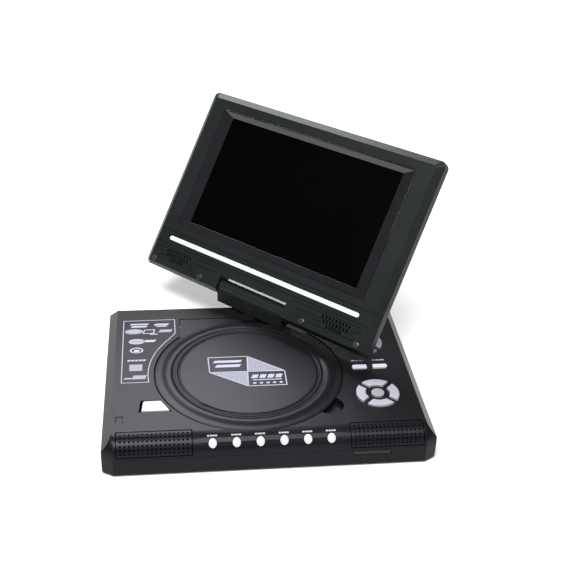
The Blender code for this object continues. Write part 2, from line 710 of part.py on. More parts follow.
def make_keys():
    low, high = BASE_HEIGHT - KEY_BODY, BASE_HEIGHT + KEY_RISE
    for ring, centre_y in nav_centres().items():
        for quarter, side in enumerate(("right", "up", "left", "down")):
            key = prism("key", shifted(nav_outline(quarter, 0), NAV_X, centre_y), low, high)
            piece(key, f"{ring}_key_{side}", "key")
        middle = cylinder("key", NAV_CENTRE_RADIUS, low, high, (NAV_X, centre_y), 24)
        piece(middle, f"{ring}_key_centre", "key")
    for side, name in ((-1, "left"), (1, "right")):
        piece(prism("key", pill_outline(side, 0), low, high), f"bar_key_{name}", "key")
    release = prism("key", open_key_outline(0), low, BASE_HEIGHT + OPEN_KEY_RISE)
    piece(release, "lid_release_key", "key")
    for i in range(FRONT_KEYS):
        width, height = FRONT_KEY_HALF_WIDTH, FRONT_KEY_HALF_HEIGHT
        key = cylinder("key", width, -2.2 * WALL, FRONT_KEY_RISE - 0.6 * MM, sides=20, second_radius=height)
        crown = [
            (width, -WALL),
            (width, FRONT_KEY_RISE - 0.8 * MM),
            (width * 0.85, FRONT_KEY_RISE - 0.2 * MM),
            (width * 0.45, FRONT_KEY_RISE),
        ]
        stretch = height / width
        rings = [[(x, y * stretch, z) for x, y in circle(r, (0, 0), 20)] for r, z in crown]
        join(key, loft("crown", rings))
        piece(placed(key, front_key_matrix(i)), f"front_key_{i + 1}", "key")
    half_x, half_y = WINDOW_WIDTH / 2, WINDOW_LENGTH / 2
    window_low = (WINDOW_X - half_x, WINDOW_Y - half_y, BASE_HEIGHT - WALL)
    window = box("window", window_low, (WINDOW_X + half_x, WINDOW_Y + half_y, BASE_HEIGHT - 0.4 * MM))
    piece(window, "remote_window", "window")


def grille_levels(total, holes, border):
    """Positions across a grille: a border, then hole and bar in turn, then a border."""
    pitch = (total - 2 * border) / holes
    places = [0.0]
    for i in range(holes):
        start = border + pitch * i
        places += [start + pitch * 0.25, start + pitch * 0.75]
    return places + [total]


def grille_section(distance, offset):
    """A point in Y and Z at a distance along the grille, first flat and then down the roll."""
    if distance < GRILLE_FLAT:
        return ROLL_Y + GRILLE_FLAT - distance, BASE_HEIGHT + offset
    return roll_point((distance - GRILLE_FLAT) / ROLL_RADIUS, offset)


def make_grille(side, name):
    width = GRILLE_WIDTH - 2 * GAP
    length = GRILLE_FLAT + ROLL_RADIUS * GRILLE_END_ANGLE - 3 * GAP
    start_x = (GRILLE_INNER_X if side > 0 else -GRILLE_INNER_X - GRILLE_WIDTH) + GAP
    columns = grille_levels(width, GRILLE_COLUMNS, 2 * MM)
    rows = grille_levels(length, GRILLE_ROWS, 1.2 * MM)
    builder = bmesh.new()
    sheets = []
    for offset in (-GRILLE_SUNK, -GRILLE_SUNK - GRILLE_THICKNESS):
        grid = [[(start_x + x, *grille_section(GAP + d, offset)) for d in rows] for x in columns]
        sheets.append([[builder.verts.new(point) for point in line] for line in grid])
    solid = {}
    for i in range(len(columns) - 1):
        for j in range(len(rows) - 1):
            solid[i, j] = not (i % 2 == 1 and j % 2 == 1)
    for (i, j), filled in solid.items():
        if not filled:
            continue
        corners = ((i, j), (i + 1, j), (i + 1, j + 1), (i, j + 1))
        for sheet in sheets:
            builder.faces.new([sheet[a][b] for a, b in corners])
        beyond = ((i, j - 1), (i + 1, j), (i, j + 1), (i - 1, j))
        for k, neighbour in enumerate(beyond):
            if not solid.get(neighbour, False):
                a, b = corners[k], corners[(k + 1) % 4]
                edge = [sheets[0][a[0]][a[1]], sheets[0][b[0]][b[1]]]
                builder.faces.new(edge + [sheets[1][b[0]][b[1]], sheets[1][a[0]][a[1]]])
    piece(finish_mesh("grille", builder), f"speaker_grille_{name}", "housing")


def make_speaker(side, name):
    foot = PARTING
    rim = foot + 4 * MM
    profile = [
        (6 * MM, foot),
        (6 * MM, foot + 2 * MM),
        (SPEAKER_RADIUS - MM, rim),
        (SPEAKER_RADIUS, rim),
        (SPEAKER_RADIUS, rim + 1.6 * MM),
        (SPEAKER_RADIUS - 2 * MM, rim + 1.6 * MM),
        (4 * MM, foot + 3.2 * MM),
        (0.1 * MM, foot + 3.6 * MM),
    ]
    speaker = lathe("speaker", profile, (side * SPEAKER_X, SPEAKER_Y), 24)
    piece(speaker, f"speaker_{name}", "cone")


# ---------------------------------------------------------------- disc drive


def drive_point(x, y):
    """A place in the drive, measured from the disc's centre."""
    return LID_X + x, LID_Y + y


def make_chassis():
    low_x, low_y = drive_point(-24 * MM, -SCREW_OFFSET - 7 * MM)
    high_x, high_y = drive_point(RAIL_END + SLED_MOTOR_LENGTH + 4 * MM, RAIL_SPACING / 2 + 7 * MM)
    top = CHASSIS_FOOT + CHASSIS_THICKNESS
    chassis = box("chassis", (low_x, low_y, CHASSIS_FOOT), (high_x, high_y, top))
    window_low = drive_point(SLED_START, -RAIL_SPACING / 2 + 3 * MM)
    window_high = drive_point(RAIL_END - 6 * MM, RAIL_SPACING / 2 - 3 * MM)
    cut(chassis, box("window", (*window_low, 0), (*window_high, BIG)))
    for y in (-RAIL_SPACING / 2, RAIL_SPACING / 2):
        for x in (RAIL_START + 1.5 * MM, RAIL_END - 1.5 * MM):
            centre_x, centre_y = drive_point(x, y)
            post_low = (centre_x - 1.5 * MM, centre_y - 3.5 * MM, CHASSIS_FOOT + 0.5 * MM)
            post = box("post", post_low, (centre_x + 1.5 * MM, centre_y + 3.5 * MM, RAIL_Z + 3 * MM))
            join(chassis, post)
        start_x, rail_y = drive_point(RAIL_START - 2 * MM, y)
        hole = RAIL_RADIUS + GAP
        cut(chassis, rod_along_x("hole", hole, start_x, start_x + RAIL_END + 2 * MM, rail_y, RAIL_Z))
    return piece(chassis, "drive_chassis", "steel")


def make_rails():
    for name, y in (("front", -RAIL_SPACING / 2), ("rear", RAIL_SPACING / 2)):
        start_x, rail_y = drive_point(RAIL_START, y)
        end_x = drive_point(RAIL_END, 0)[0]
        piece(rod_along_x("rail", RAIL_RADIUS, start_x, end_x, rail_y, RAIL_Z), f"guide_rail_{name}", "steel")


def make_spindle():
    centre = (LID_X, LID_Y)
    foot = CHASSIS_FOOT + CHASSIS_THICKNESS + GAP
    motor = cylinder("motor", MOTOR_RADIUS, foot, MOTOR_TOP, centre)
    piece(motor, "spindle_motor", "steel")
    top = PLATTER_FOOT + PLATTER_THICKNESS
    profile = [
        (SPINDLE_RADIUS, MOTOR_TOP + GAP),
        (SPINDLE_RADIUS, PLATTER_FOOT),
        (PLATTER_RADIUS, PLATTER_FOOT),
        (PLATTER_RADIUS, top),
        (HUB_RADIUS, top),
        (HUB_RADIUS, top + HUB_HEIGHT - MM),
        (HUB_RADIUS - 1.5 * MM, top + HUB_HEIGHT),
        (0.1 * MM, top + HUB_HEIGHT),
    ]
    piece(lathe("hub", profile, centre, ROUND), "disc_turntable", "inner", pivot=(*centre, PLATTER_FOOT))


def make_sled():
    start_x = drive_point(SLED_START, 0)[0]
    middle_x = start_x + SLED_LENGTH / 2
    centre_y = LID_Y
    top = WELL_FLOOR - WELL_FLOOR_THICKNESS - 2 * GAP
    reach = HATCH_WIDTH / 2 - 2 * MM
    sled = box("sled", (start_x, centre_y - reach, 6 * MM), (start_x + SLED_LENGTH, centre_y + reach, top))
    arm = RAIL_SPACING / 2 + RAIL_RADIUS + 2 * MM
    arm_low = RAIL_Z - RAIL_RADIUS - 1.5 * MM
    arm_high = RAIL_Z + RAIL_RADIUS + 1.5 * MM
    nut = SCREW_OFFSET + SCREW_RADIUS + 2 * MM
    bar_low = (middle_x - 5 * MM, centre_y - nut, arm_low)
    join(sled, box("bar", bar_low, (middle_x + 5 * MM, centre_y + arm, arm_high)))
    for y in (-SCREW_OFFSET, -RAIL_SPACING / 2, RAIL_SPACING / 2):
        bore = RAIL_RADIUS + GAP
        cut(sled, rod_along_x("bore", bore, start_x - MM, start_x + SLED_LENGTH + MM, centre_y + y, RAIL_Z))
    piece(sled, "pickup_sled", "inner")
    lens = cylinder("lens", LENS_RADIUS, top + GAP, PLATTER_FOOT - 2 * GAP, (middle_x, centre_y), 24)
    piece(lens, "pickup_lens", "lens")


def make_sled_drive():
    screw_start, screw_y = drive_point(RAIL_START, -SCREW_OFFSET)
    screw_end = drive_point(RAIL_END, 0)[0]
    screw = rod_along_x("screw", SCREW_RADIUS, screw_start, screw_end, screw_y, RAIL_Z)
    piece(screw, "lead_screw", "steel", pivot=(screw_start, screw_y, RAIL_Z))
    motor_start = screw_end + GAP
    motor = rod_along_x(
        "motor", SLED_MOTOR_RADIUS, motor_start, motor_start + SLED_MOTOR_LENGTH, screw_y, RAIL_Z + MM, 24
    )
    piece(motor, "sled_motor", "steel")


# ---------------------------------------------------------------- electronics


def make_boards():
    foot = WALL + 1.8 * MM
    board = box("board", (-60 * MM, 36 * MM, foot), (100 * MM, 78 * MM, foot + 1.6 * MM))
    piece(board, "main_board", "board")
    reach = NAV_RADIUS + 3 * MM
    centres = nav_centres()
    top = BASE_HEIGHT - KEY_BODY - MM
    low = (NAV_X - reach, centres["lower"] - reach, top - 1.6 * MM)
    key_board = box("board", low, (NAV_X + reach, centres["upper"] + reach, top))
    piece(key_board, "key_board", "board")
    battery = box("battery", (-106 * MM, -36 * MM, WALL + GAP), (-42 * MM, 28 * MM, WALL + 9.7 * MM))
    piece(battery, "battery_pack", "cell")


def make_socket(name, y, radius):
    outer = BASE_WIDTH / 2 - WALL - GAP
    half = 4.2 * MM
    low = (outer - SOCKET_LENGTH, y - half, WALL + 3 * GAP)
    body = box("socket", low, (outer, y + half, SOCKET_Z + half))
    nose = rod_along_x("nose", radius + MM, outer - 2 * MM, outer, y, SOCKET_Z)
    join(body, nose)
    cut(body, rod_along_x("bore", radius, outer - SOCKET_LENGTH + 2 * MM, outer + MM, y, SOCKET_Z))
    piece(body, name, "inner")


def make_switch():
    outer = BASE_WIDTH / 2
    half_z = SWITCH_HEIGHT / 2
    start_y = SWITCH_Y - SWITCH_TRAVEL / 2
    half_y = SWITCH_WIDTH / 2
    knob_low = (outer - 2 * WALL, start_y - half_y, SOCKET_Z - half_z)
    knob = box("knob", knob_low, (outer + SWITCH_RISE, start_y + half_y, SOCKET_Z + half_z))
    piece(knob, "power_switch", "inner")


def make_card_socket():
    half = CARD_WIDTH / 2 + 1.5 * MM
    front = BASE_FRONT + WALL + GAP
    body = box("card", (CARD_X - half, front, 7.4 * MM), (CARD_X + half, front + 26 * MM, 13 * MM))
    slot_low = (CARD_X - CARD_WIDTH / 2, front - MM, CARD_Z - CARD_HEIGHT / 2)
    cut(body, box("slot", slot_low, (CARD_X + CARD_WIDTH / 2, front + 23 * MM, CARD_Z + CARD_HEIGHT / 2)))
    piece(body, "card_socket", "steel")


# ---------------------------------------------------------------- hinge


def axis_empty(name, location, parent=None, turn=(0, 0, 0)):
    empty = bpy.data.objects.new(name, None)
    empty.empty_display_size = 0.02
    empty.location = location
    empty.rotation_euler = turn
    empty.parent = parent
    bpy.context.scene.collection.objects.link(empty)
    return empty


def make_hinge(swivel):
    """The block turns about the swivel axis; its own origin is where both axes meet."""
    axis_height = BASE_HEIGHT + HINGE_HEIGHT
    block_low = (-BLOCK_HALF, -BLOCK_DEPTH, -BLOCK_DROP)
    block = box("block", block_low, (BLOCK_HALF, BLOCK_DEPTH, 0))
    barrel = rod_along_x("barrel", BARREL_RADIUS, -BLOCK_HALF, BLOCK_HALF, 0, 0, ROUND)
    turret = cylinder("turret", TURRET_RADIUS, BASE_HEIGHT + GAP - axis_height, -BLOCK_DROP / 2)
    shaft = cylinder("shaft", SHAFT_RADIUS, SHAFT_FOOT - axis_height, -BLOCK_DROP / 2, sides=24)
    join(block, barrel, turret, shaft)
    cut(block, rod_along_x("bore", HINGE_PIN_RADIUS + GAP, -BIG, BIG, 0, 0))
    piece(block, "swivel_block", "screen_shell", swivel)
    low = BOSS_FOOT - GAP - RETAINER_THICKNESS - axis_height
    ring = cylinder("ring", RETAINER_RADIUS, low, low + RETAINER_THICKNESS, sides=24)
    cut(ring, cylinder("hole", SHAFT_RADIUS + GAP, low - MM, low + 2 * RETAINER_THICKNESS, sides=24))
    piece(ring, "swivel_retainer", "steel", swivel)
    pin = rod_along_x("pin", HINGE_PIN_RADIUS, -HINGE_PIN_HALF, HINGE_PIN_HALF, 0, 0)
    piece(pin, "tilt_hinge_pin", "steel", swivel)


# ---------------------------------------------------------------- screen


def screen_ring(y, inset, bottom_inset=None):
    low_inset = inset if bottom_inset is None else bottom_inset
    radius = max(SCREEN_CORNER - inset / 2, MM)
    outline = rounded_rectangle(SCREEN_HALF - inset, SCREEN_BOTTOM + low_inset, SCREEN_TOP - inset, radius)
    return [(x, y, z) for x, z in outline]


def picture_ring(y, extra_width, extra_height):
    half = PICTURE_WIDTH / 2 + extra_width
    low = PICTURE_Z - PICTURE_HEIGHT / 2 - extra_height
    high = PICTURE_Z + PICTURE_HEIGHT / 2 + extra_height
    return [(-half, y, low), (half, y, low), (half, y, high), (-half, y, high)]


def notch_cutter():
    low = (-NOTCH_HALF, SCREEN_FRONT - MM, SCREEN_BOTTOM - MM)
    return box("cutter", low, (NOTCH_HALF, SCREEN_BACK + MM, NOTCH_TOP))


def pin_hole_cutter():
    return rod_along_x("cutter", HINGE_PIN_RADIUS + GAP, -HINGE_PIN_HALF - MM, HINGE_PIN_HALF + MM, 0, 0)


def notch_wall():
    """Solid round the notch that stays when a shell is hollowed."""
    half = NOTCH_HALF + SCREEN_WALL + 2 * MM
    low = (-half, SCREEN_FRONT, SCREEN_BOTTOM - MM)
    return box("block", low, (half, SCREEN_BACK, NOTCH_TOP + SCREEN_WALL))


def make_screen_frame(tilt):
    back = SCREEN_SPLIT - GAP / 2
    rings = [
        screen_ring(SCREEN_FRONT, SCREEN_BEVEL, SCREEN_BEVEL / 2),
        screen_ring(SCREEN_FRONT + SCREEN_BEVEL_DEPTH, 0),
        screen_ring(back, 0),
    ]
    frame = loft("frame", rings)
    floor = SCREEN_FRONT + SCREEN_WALL
    low_wall = SCREEN_BEVEL / 2 + SCREEN_WALL
    hollow = loft("hollow", [screen_ring(y, FRAME_WIDTH, low_wall) for y in (floor, back + MM)])
    cut(frame, cut(hollow, notch_wall()))
    slope = PICTURE_BEVEL / PICTURE_DEPTH * MM
    slope_high = PICTURE_BEVEL_HIGH / PICTURE_DEPTH * MM
    opening = [
        picture_ring(SCREEN_FRONT - MM, PICTURE_BEVEL + slope, PICTURE_BEVEL_HIGH + slope_high),
        picture_ring(SCREEN_FRONT + PICTURE_DEPTH, 0, 0),
        picture_ring(floor + MM, 0, 0),
    ]
    cut(frame, loft("opening", opening), notch_cutter(), pin_hole_cutter())
    groove_half = STRIP_HALF + GAP
    groove = rounded_rectangle(groove_half, -STRIP_HEIGHT / 2 - GAP, STRIP_HEIGHT / 2 + GAP, STRIP_HEIGHT / 2)
    depths = (SCREEN_FRONT - MM, SCREEN_FRONT + STRIP_DEPTH)
    cut(frame, loft("groove", [[(x, y, z + STRIP_Z) for x, z in groove] for y in depths]))
    for x in cap_places().values():
        cut(frame, cap_solid("seat", x, CAP_RADIUS + GAP, SCREEN_FRONT - MM, SCREEN_FRONT + 0.6 * MM))
    piece(frame, "screen_front_frame", "screen_shell", tilt)


def make_screen_back(tilt):
    front = SCREEN_SPLIT + GAP / 2
    rings = [
        screen_ring(front, 0),
        screen_ring(SCREEN_BACK - SCREEN_BACK_BEVEL, 0),
        screen_ring(SCREEN_BACK, SCREEN_BACK_BEVEL),
    ]
    shell = loft("shell", rings)
    depths = (front - MM, SCREEN_BACK - 2 * MM)
    hollow = loft("hollow", [screen_ring(y, SCREEN_WALL + MM) for y in depths])
    cut(shell, cut(hollow, notch_wall()), notch_cutter(), pin_hole_cutter())
    piece(shell, "screen_rear_cover", "screen_shell", tilt)


def make_panel(tilt):
    half = PICTURE_WIDTH / 2 + PANEL_MARGIN
    high = PICTURE_HEIGHT / 2 + PANEL_MARGIN
    front = SCREEN_FRONT + SCREEN_WALL + GAP
    low = (-half, front, PICTURE_Z - high)
    panel = box("panel", low, (half, front + PANEL_THICKNESS, PICTURE_Z + high))
    piece(panel, "display_panel", "panel", tilt)
    board_front = SCREEN_SPLIT + 2 * GAP
    board_low = (-60 * MM, board_front, 30 * MM)
    board = box("board", board_low, (60 * MM, board_front + 1.2 * MM, 100 * MM))
    piece(board, "screen_board", "board", tilt)


def make_strip(tilt):
    outline = rounded_rectangle(STRIP_HALF, -STRIP_HEIGHT / 2, STRIP_HEIGHT / 2, STRIP_HEIGHT / 2 - 0.05 * MM)
    depths = (SCREEN_FRONT - 0.3 * MM, SCREEN_FRONT + STRIP_DEPTH - GAP)
    strip = loft("strip", [[(x, y, z + STRIP_Z) for x, z in outline] for y in depths])
    piece(strip, "silver_strip", "trim", tilt)


def cap_places():
    return {
        "outer_left": -CAP_OUTER_X,
        "inner_left": -CAP_INNER_X,
        "inner_right": CAP_INNER_X,
        "outer_right": CAP_OUTER_X,
    }


def cap_solid(name, x, radius, front, back):
    outline = circle(radius, (x, CAP_Z), SMALL_ROUND)
    return loft(name, [[(a, y, b) for a, b in outline] for y in (front, back)])


def make_caps(tilt):
    for name, x in cap_places().items():
        cap = cap_solid("cap", x, CAP_RADIUS, SCREEN_FRONT - CAP_RISE, SCREEN_FRONT + GAP)
        piece(cap, f"screen_pad_{name}", "rubber", tilt)


def main():
    clear_scene()
    make_top_cover()
    make_bottom_cover()
    make_feet()
    make_lid()
    make_keys()
    for side, name in ((-1, "left"), (1, "right")):
        make_grille(side, name)
        make_speaker(side, name)
    make_chassis()
    make_rails()
    make_spindle()
    make_sled()
    make_sled_drive()
    make_boards()
    make_socket("dc_socket", DC_Y, DC_HOLE_RADIUS)
    make_socket("headphone_socket", PHONES_Y, PHONES_HOLE_RADIUS)
    make_switch()
    make_card_socket()
    swivel = axis_empty("swivel_axis", (0, SWIVEL_Y, BASE_HEIGHT + HINGE_HEIGHT), turn=(0, 0, SWIVEL_AT_REST))
    make_hinge(swivel)
    tilt = axis_empty("tilt_axis", (0, 0, 0), swivel, (TILT_AT_REST, 0, 0))
    make_screen_frame(tilt)
    make_screen_back(tilt)
    make_panel(tilt)
    make_strip(tilt)
    make_caps(tilt)


main()
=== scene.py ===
"""Portable disc player: surfaces, keys, printing, screen and stage, built round its solid frame."""

import json
import math

import bmesh
import bpy
from bpy.props import FloatProperty, FloatVectorProperty, IntProperty, PointerProperty
from bpy.types import Operator, Panel, PropertyGroup
from mathutils import Matrix, Vector


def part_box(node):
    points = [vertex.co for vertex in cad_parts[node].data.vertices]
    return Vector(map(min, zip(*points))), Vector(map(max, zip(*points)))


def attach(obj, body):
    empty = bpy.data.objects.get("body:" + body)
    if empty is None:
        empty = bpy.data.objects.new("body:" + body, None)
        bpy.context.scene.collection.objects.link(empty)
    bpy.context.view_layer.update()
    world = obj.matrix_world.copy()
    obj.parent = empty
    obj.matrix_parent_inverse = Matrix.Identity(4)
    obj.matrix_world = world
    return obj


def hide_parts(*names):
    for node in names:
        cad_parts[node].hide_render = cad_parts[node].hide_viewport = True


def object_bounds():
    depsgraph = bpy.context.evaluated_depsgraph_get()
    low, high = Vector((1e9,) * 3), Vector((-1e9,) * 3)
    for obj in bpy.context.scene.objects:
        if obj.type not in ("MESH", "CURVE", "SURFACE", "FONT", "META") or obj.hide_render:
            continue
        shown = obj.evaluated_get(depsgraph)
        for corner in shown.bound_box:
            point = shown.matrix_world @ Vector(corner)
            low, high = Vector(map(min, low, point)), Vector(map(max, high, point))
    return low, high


bl_info = {
    "name": "Portable Disc Player",
    "version": (1, 0, 0),
    "blender": (4, 5, 0),
    "location": "3D View > Sidebar > Disc Player",
    "description": "Builds the player's lid, keys, grilles, screen, printing and studio",
    "category": "Object",
}

MM = 0.001
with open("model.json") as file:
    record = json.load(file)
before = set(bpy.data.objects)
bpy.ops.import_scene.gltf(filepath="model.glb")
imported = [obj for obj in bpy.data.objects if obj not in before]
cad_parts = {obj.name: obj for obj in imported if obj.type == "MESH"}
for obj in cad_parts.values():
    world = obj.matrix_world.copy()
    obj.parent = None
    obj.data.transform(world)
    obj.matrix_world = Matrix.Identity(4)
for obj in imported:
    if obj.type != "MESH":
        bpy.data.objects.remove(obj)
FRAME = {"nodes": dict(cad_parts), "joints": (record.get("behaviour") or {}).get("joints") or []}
SOLID_BOX = [list(corner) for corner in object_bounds()]
NODES = FRAME["nodes"]
JOINTS = {joint["name"]: joint for joint in FRAME["joints"]}

# Places that the solid frame gives
COVER_LOW, COVER_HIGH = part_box("base_top_cover")
LID_LOW, LID_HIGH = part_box("disc_lid")
HINGE = Vector(JOINTS["screen_tilt"]["pos_m"])
TILT_AXIS = Vector(JOINTS["screen_tilt"]["axis"])
SWIVEL_TURN = math.atan2(TILT_AXIS.y, TILT_AXIS.x)
TILT_TURN = math.radians(-36)
SCREEN_PLACE = (
    Matrix.Translation(HINGE) @ Matrix.Rotation(SWIVEL_TURN, 4, "Z") @ Matrix.Rotation(TILT_TURN, 4, "X")
)
HUB_X = (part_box("disc_turntable")[0].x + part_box("disc_turntable")[1].x) / 2
HUB_Y = (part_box("disc_turntable")[0].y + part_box("disc_turntable")[1].y) / 2
TOP = COVER_HIGH.z
LID_RADIUS = HUB_Y - LID_LOW.y
ROLL_RADIUS = 12.5 * MM
ROLL_Y = COVER_LOW.y + ROLL_RADIUS
ROLL_Z = TOP - ROLL_RADIUS
SCREEN_FRONT = -8.2 * MM
SCREEN_BACK = 5.7 * MM
PICTURE_HALF = 86 * MM
PICTURE_LOW = 40 * MM
PICTURE_HIGH = 137 * MM
SCREEN_HALF = 116 * MM
SCREEN_LOW = -6.8 * MM
SCREEN_HIGH = 155.5 * MM
PADS = {"outer_left": -105.5, "inner_left": -53.5, "inner_right": 53.5, "outer_right": 105.5}
PAD_Z = -0.6 * MM
INK = 0.05 * MM
HOUSING_TINT = (0.92, 0.86, 1.0, 1)


# ---------------------------------------------------------------- what a user would change


class PlayerColours(PropertyGroup):
    housing: FloatVectorProperty(
        name="Housing", description="Colour of the base and the lid", subtype="COLOR",
        default=(0.0060, 0.0060, 0.0072), min=0, max=1,
    )
    screen: FloatVectorProperty(
        name="Screen shell", description="Colour of the screen's frame, back and hinge block",
        subtype="COLOR", default=(0.0105, 0.0125, 0.0128), min=0, max=1,
    )
    keys: FloatVectorProperty(
        name="Keys", description="Colour of the moulded keys", subtype="COLOR",
        default=(0.54, 0.54, 0.61), min=0, max=1,
    )
    printing: FloatVectorProperty(
        name="Printing", description="Colour of the printed lines and symbols", subtype="COLOR",
        default=(0.38, 0.39, 0.49), min=0, max=1,
    )
    trim: FloatVectorProperty(
        name="Trim strip", description="Colour of the silver strip under the picture", subtype="COLOR",
        default=(0.86, 0.87, 0.88), min=0, max=1,
    )


class PlayerSizes(PropertyGroup):
    edge: FloatProperty(
        name="Edge softness", description="Width of the moulded housing's softened edges",
        subtype="DISTANCE", unit="LENGTH", default=0.35 * MM, min=0.05 * MM, max=1 * MM,
    )
    key_edge: FloatProperty(
        name="Key edge", description="Width of the rounding round a key's top", subtype="DISTANCE",
        unit="LENGTH", default=0.5 * MM, min=0.05 * MM, max=1 * MM,
    )
    line: FloatProperty(
        name="Printed line", description="Width of the printed outlines", subtype="DISTANCE",
        unit="LENGTH", default=0.6 * MM, min=0.2 * MM, max=2 * MM,
    )
    grille_columns: IntProperty(
        name="Grille columns", description="Holes across each speaker grille", default=16, min=2, max=30,
    )
    grille_rows: IntProperty(
        name="Grille rows", description="Holes down each speaker grille", default=6, min=2, max=12,
    )
    grille_hole: FloatProperty(
        name="Grille hole", description="Diameter of a speaker hole", subtype="DISTANCE",
        unit="LENGTH", default=1.55 * MM, min=0.5 * MM, max=2.4 * MM,
    )


def colours():
    return bpy.context.scene.player_colours


def sizes():
    return bpy.context.scene.player_sizes


# ---------------------------------------------------------------- materials


def started(name):
    """A new material, with its nodes, links and shader, and the object's own coordinates."""
    made = bpy.data.materials.new(name)
    made.use_nodes = True
    nodes = made.node_tree.nodes
    place = nodes.new("ShaderNodeTexCoord").outputs["Object"]
    return made, nodes, made.node_tree.links, nodes["Principled BSDF"], place


def noise_in(nodes, scale, detail, roughness=0.5):
    texture = nodes.new("ShaderNodeTexNoise")
    for key, value in (("Scale", scale), ("Detail", detail), ("Roughness", roughness)):
        texture.inputs[key].default_value = value
    return texture


def ramp_in(nodes, *stops):
    """A colour ramp through two (position, colour) stops."""
    ramp = nodes.new("ShaderNodeValToRGB")
    for element, (position, colour) in zip(ramp.color_ramp.elements, stops):
        element.position = position
        element.color = (*[min(1, c) for c in colour], 1)
    return ramp


def polish_in(nodes, roughness, spread, low=0.0, high=1.0):
    """Turns a texture's value into a roughness that is uneven by spread."""
    polish = nodes.new("ShaderNodeMapRange")
    polish.inputs["From Min"].default_value = low
    polish.inputs["From Max"].default_value = high
    polish.inputs["To Min"].default_value = roughness - spread
    polish.inputs["To Max"].default_value = roughness + spread
    return polish


def bump_in(nodes, strength, depth):
    raised = nodes.new("ShaderNodeBump")
    raised.inputs["Strength"].default_value = strength
    raised.inputs["Distance"].default_value = depth
    return raised


def moulded(name, colour, roughness, grain=0.00035, bump=0.25, mottle=0.12, **inputs):
    """Moulded plastic: a fine spark-eroded grain, slow mottling of its colour and uneven polish."""
    found = bpy.data.materials.get(name)
    if found:
        return found
    made, nodes, links, shader, place = started(name)
    fine = noise_in(nodes, 1 / grain, 3, 0.6)
    slow = noise_in(nodes, 22, 4)
    raised = bump_in(nodes, bump, 0.06 * MM)
    dark, light = ([c * (1 + change) for c in colour] for change in (-mottle, mottle))
    ramp = ramp_in(nodes, (0.35, dark), (0.65, light))
    polish = polish_in(nodes, roughness, 0.04, 0.3, 0.7)
    for texture in (fine, slow):
        links.new(place, texture.inputs["Vector"])
    links.new(fine.outputs["Fac"], raised.inputs["Height"])
    links.new(raised.outputs["Normal"], shader.inputs["Normal"])
    links.new(slow.outputs["Fac"], ramp.inputs["Fac"])
    links.new(ramp.outputs["Color"], shader.inputs["Base Color"])
    links.new(fine.outputs["Fac"], polish.inputs["Value"])
    links.new(polish.outputs["Result"], shader.inputs["Roughness"])
    for key, value in inputs.items():
        shader.inputs[key.replace("_", " ")].default_value = value
    return made


def brushed(name, colour, roughness, metallic, stretch=(0.25, 0.0011, 0.0011), turn=(0, 0, 0)):
    """Drawn or brushed metal and metallic paint: long fine lines along X, or along a turned X."""
    found = bpy.data.materials.get(name)
    if found:
        return found
    made, nodes, links, shader, place = started(name)
    shader.inputs["Metallic"].default_value = metallic
    spread = nodes.new("ShaderNodeMapping")
    spread.vector_type = "TEXTURE"
    spread.inputs["Scale"].default_value = stretch
    spread.inputs["Rotation"].default_value = turn
    lines = noise_in(nodes, 1, 5)
    ramp = ramp_in(nodes, (0.3, [c * 0.9 for c in colour]), (0.7, [c * 1.05 for c in colour]))
    polish = polish_in(nodes, roughness, 0.07)
    raised = bump_in(nodes, 0.15, 0.02 * MM)
    links.new(place, spread.inputs["Vector"])
    links.new(spread.outputs["Vector"], lines.inputs["Vector"])
    for target in (ramp.inputs["Fac"], polish.inputs["Value"], raised.inputs["Height"]):
        links.new(lines.outputs["Fac"], target)
    links.new(ramp.outputs["Color"], shader.inputs["Base Color"])
    links.new(polish.outputs["Result"], shader.inputs["Roughness"])
    links.new(raised.outputs["Normal"], shader.inputs["Normal"])
    return made


def recoloured(made, make_texture):
    """Replaces a moulding's mottling by another pattern over the object's own coordinates."""
    nodes, links = made.node_tree.nodes, made.node_tree.links
    place = nodes.new("ShaderNodeTexCoord").outputs["Object"]
    pattern, colour = make_texture(nodes, links)
    links.new(place, pattern.inputs["Vector"])
    links.new(colour, nodes["Principled BSDF"].inputs["Base Color"])
    return made


def board_material():
    """Circuit board: green mask over a pattern of copper tracks."""
    green = (0.012, 0.10, 0.045)

    def tracks(nodes, links):
        pattern = nodes.new("ShaderNodeTexBrick")
        pattern.inputs["Scale"].default_value = 160
        pattern.inputs["Color1"].default_value = (*green, 1)
        pattern.inputs["Color2"].default_value = (0.016, 0.13, 0.06, 1)
        pattern.inputs["Mortar"].default_value = (0.04, 0.22, 0.08, 1)
        pattern.inputs["Mortar Size"].default_value = 0.03
        return pattern, pattern.outputs["Color"]

    found = bpy.data.materials.get("circuit board")
    return found or recoloured(moulded("circuit board", green, 0.42, grain=0.0012, bump=0.15), tracks)


def hatch_material():
    """Pale ink over a fine pattern of dark dots."""
    ink = colours().printing

    def dots(nodes, links):
        cells = nodes.new("ShaderNodeTexVoronoi")
        cells.feature = "F1"
        cells.inputs["Scale"].default_value = 620
        cells.inputs["Randomness"].default_value = 0.15
        ramp = ramp_in(nodes, (0.22, [c * 0.30 for c in ink]), (0.42, [c * 0.72 for c in ink]))
        links.new(cells.outputs["Distance"], ramp.inputs["Fac"])
        return cells, ramp.outputs["Color"]

    found = bpy.data.materials.get("hatched printing")
    return found or recoloured(moulded("hatched printing", ink, 0.55, grain=0.0003, bump=0.1), dots)


def housing_material():
    return moulded(
        "charcoal housing", colours().housing, 0.34, grain=0.0005, bump=0.3,
        Specular_IOR_Level=0.14, Specular_Tint=HOUSING_TINT,
    )


def screen_material():
    return moulded(
        "satin screen shell", colours().screen, 0.40, grain=0.0006, bump=0.2,
        Specular_IOR_Level=0.2, Specular_Tint=(0.85, 0.92, 0.88, 1),
    )


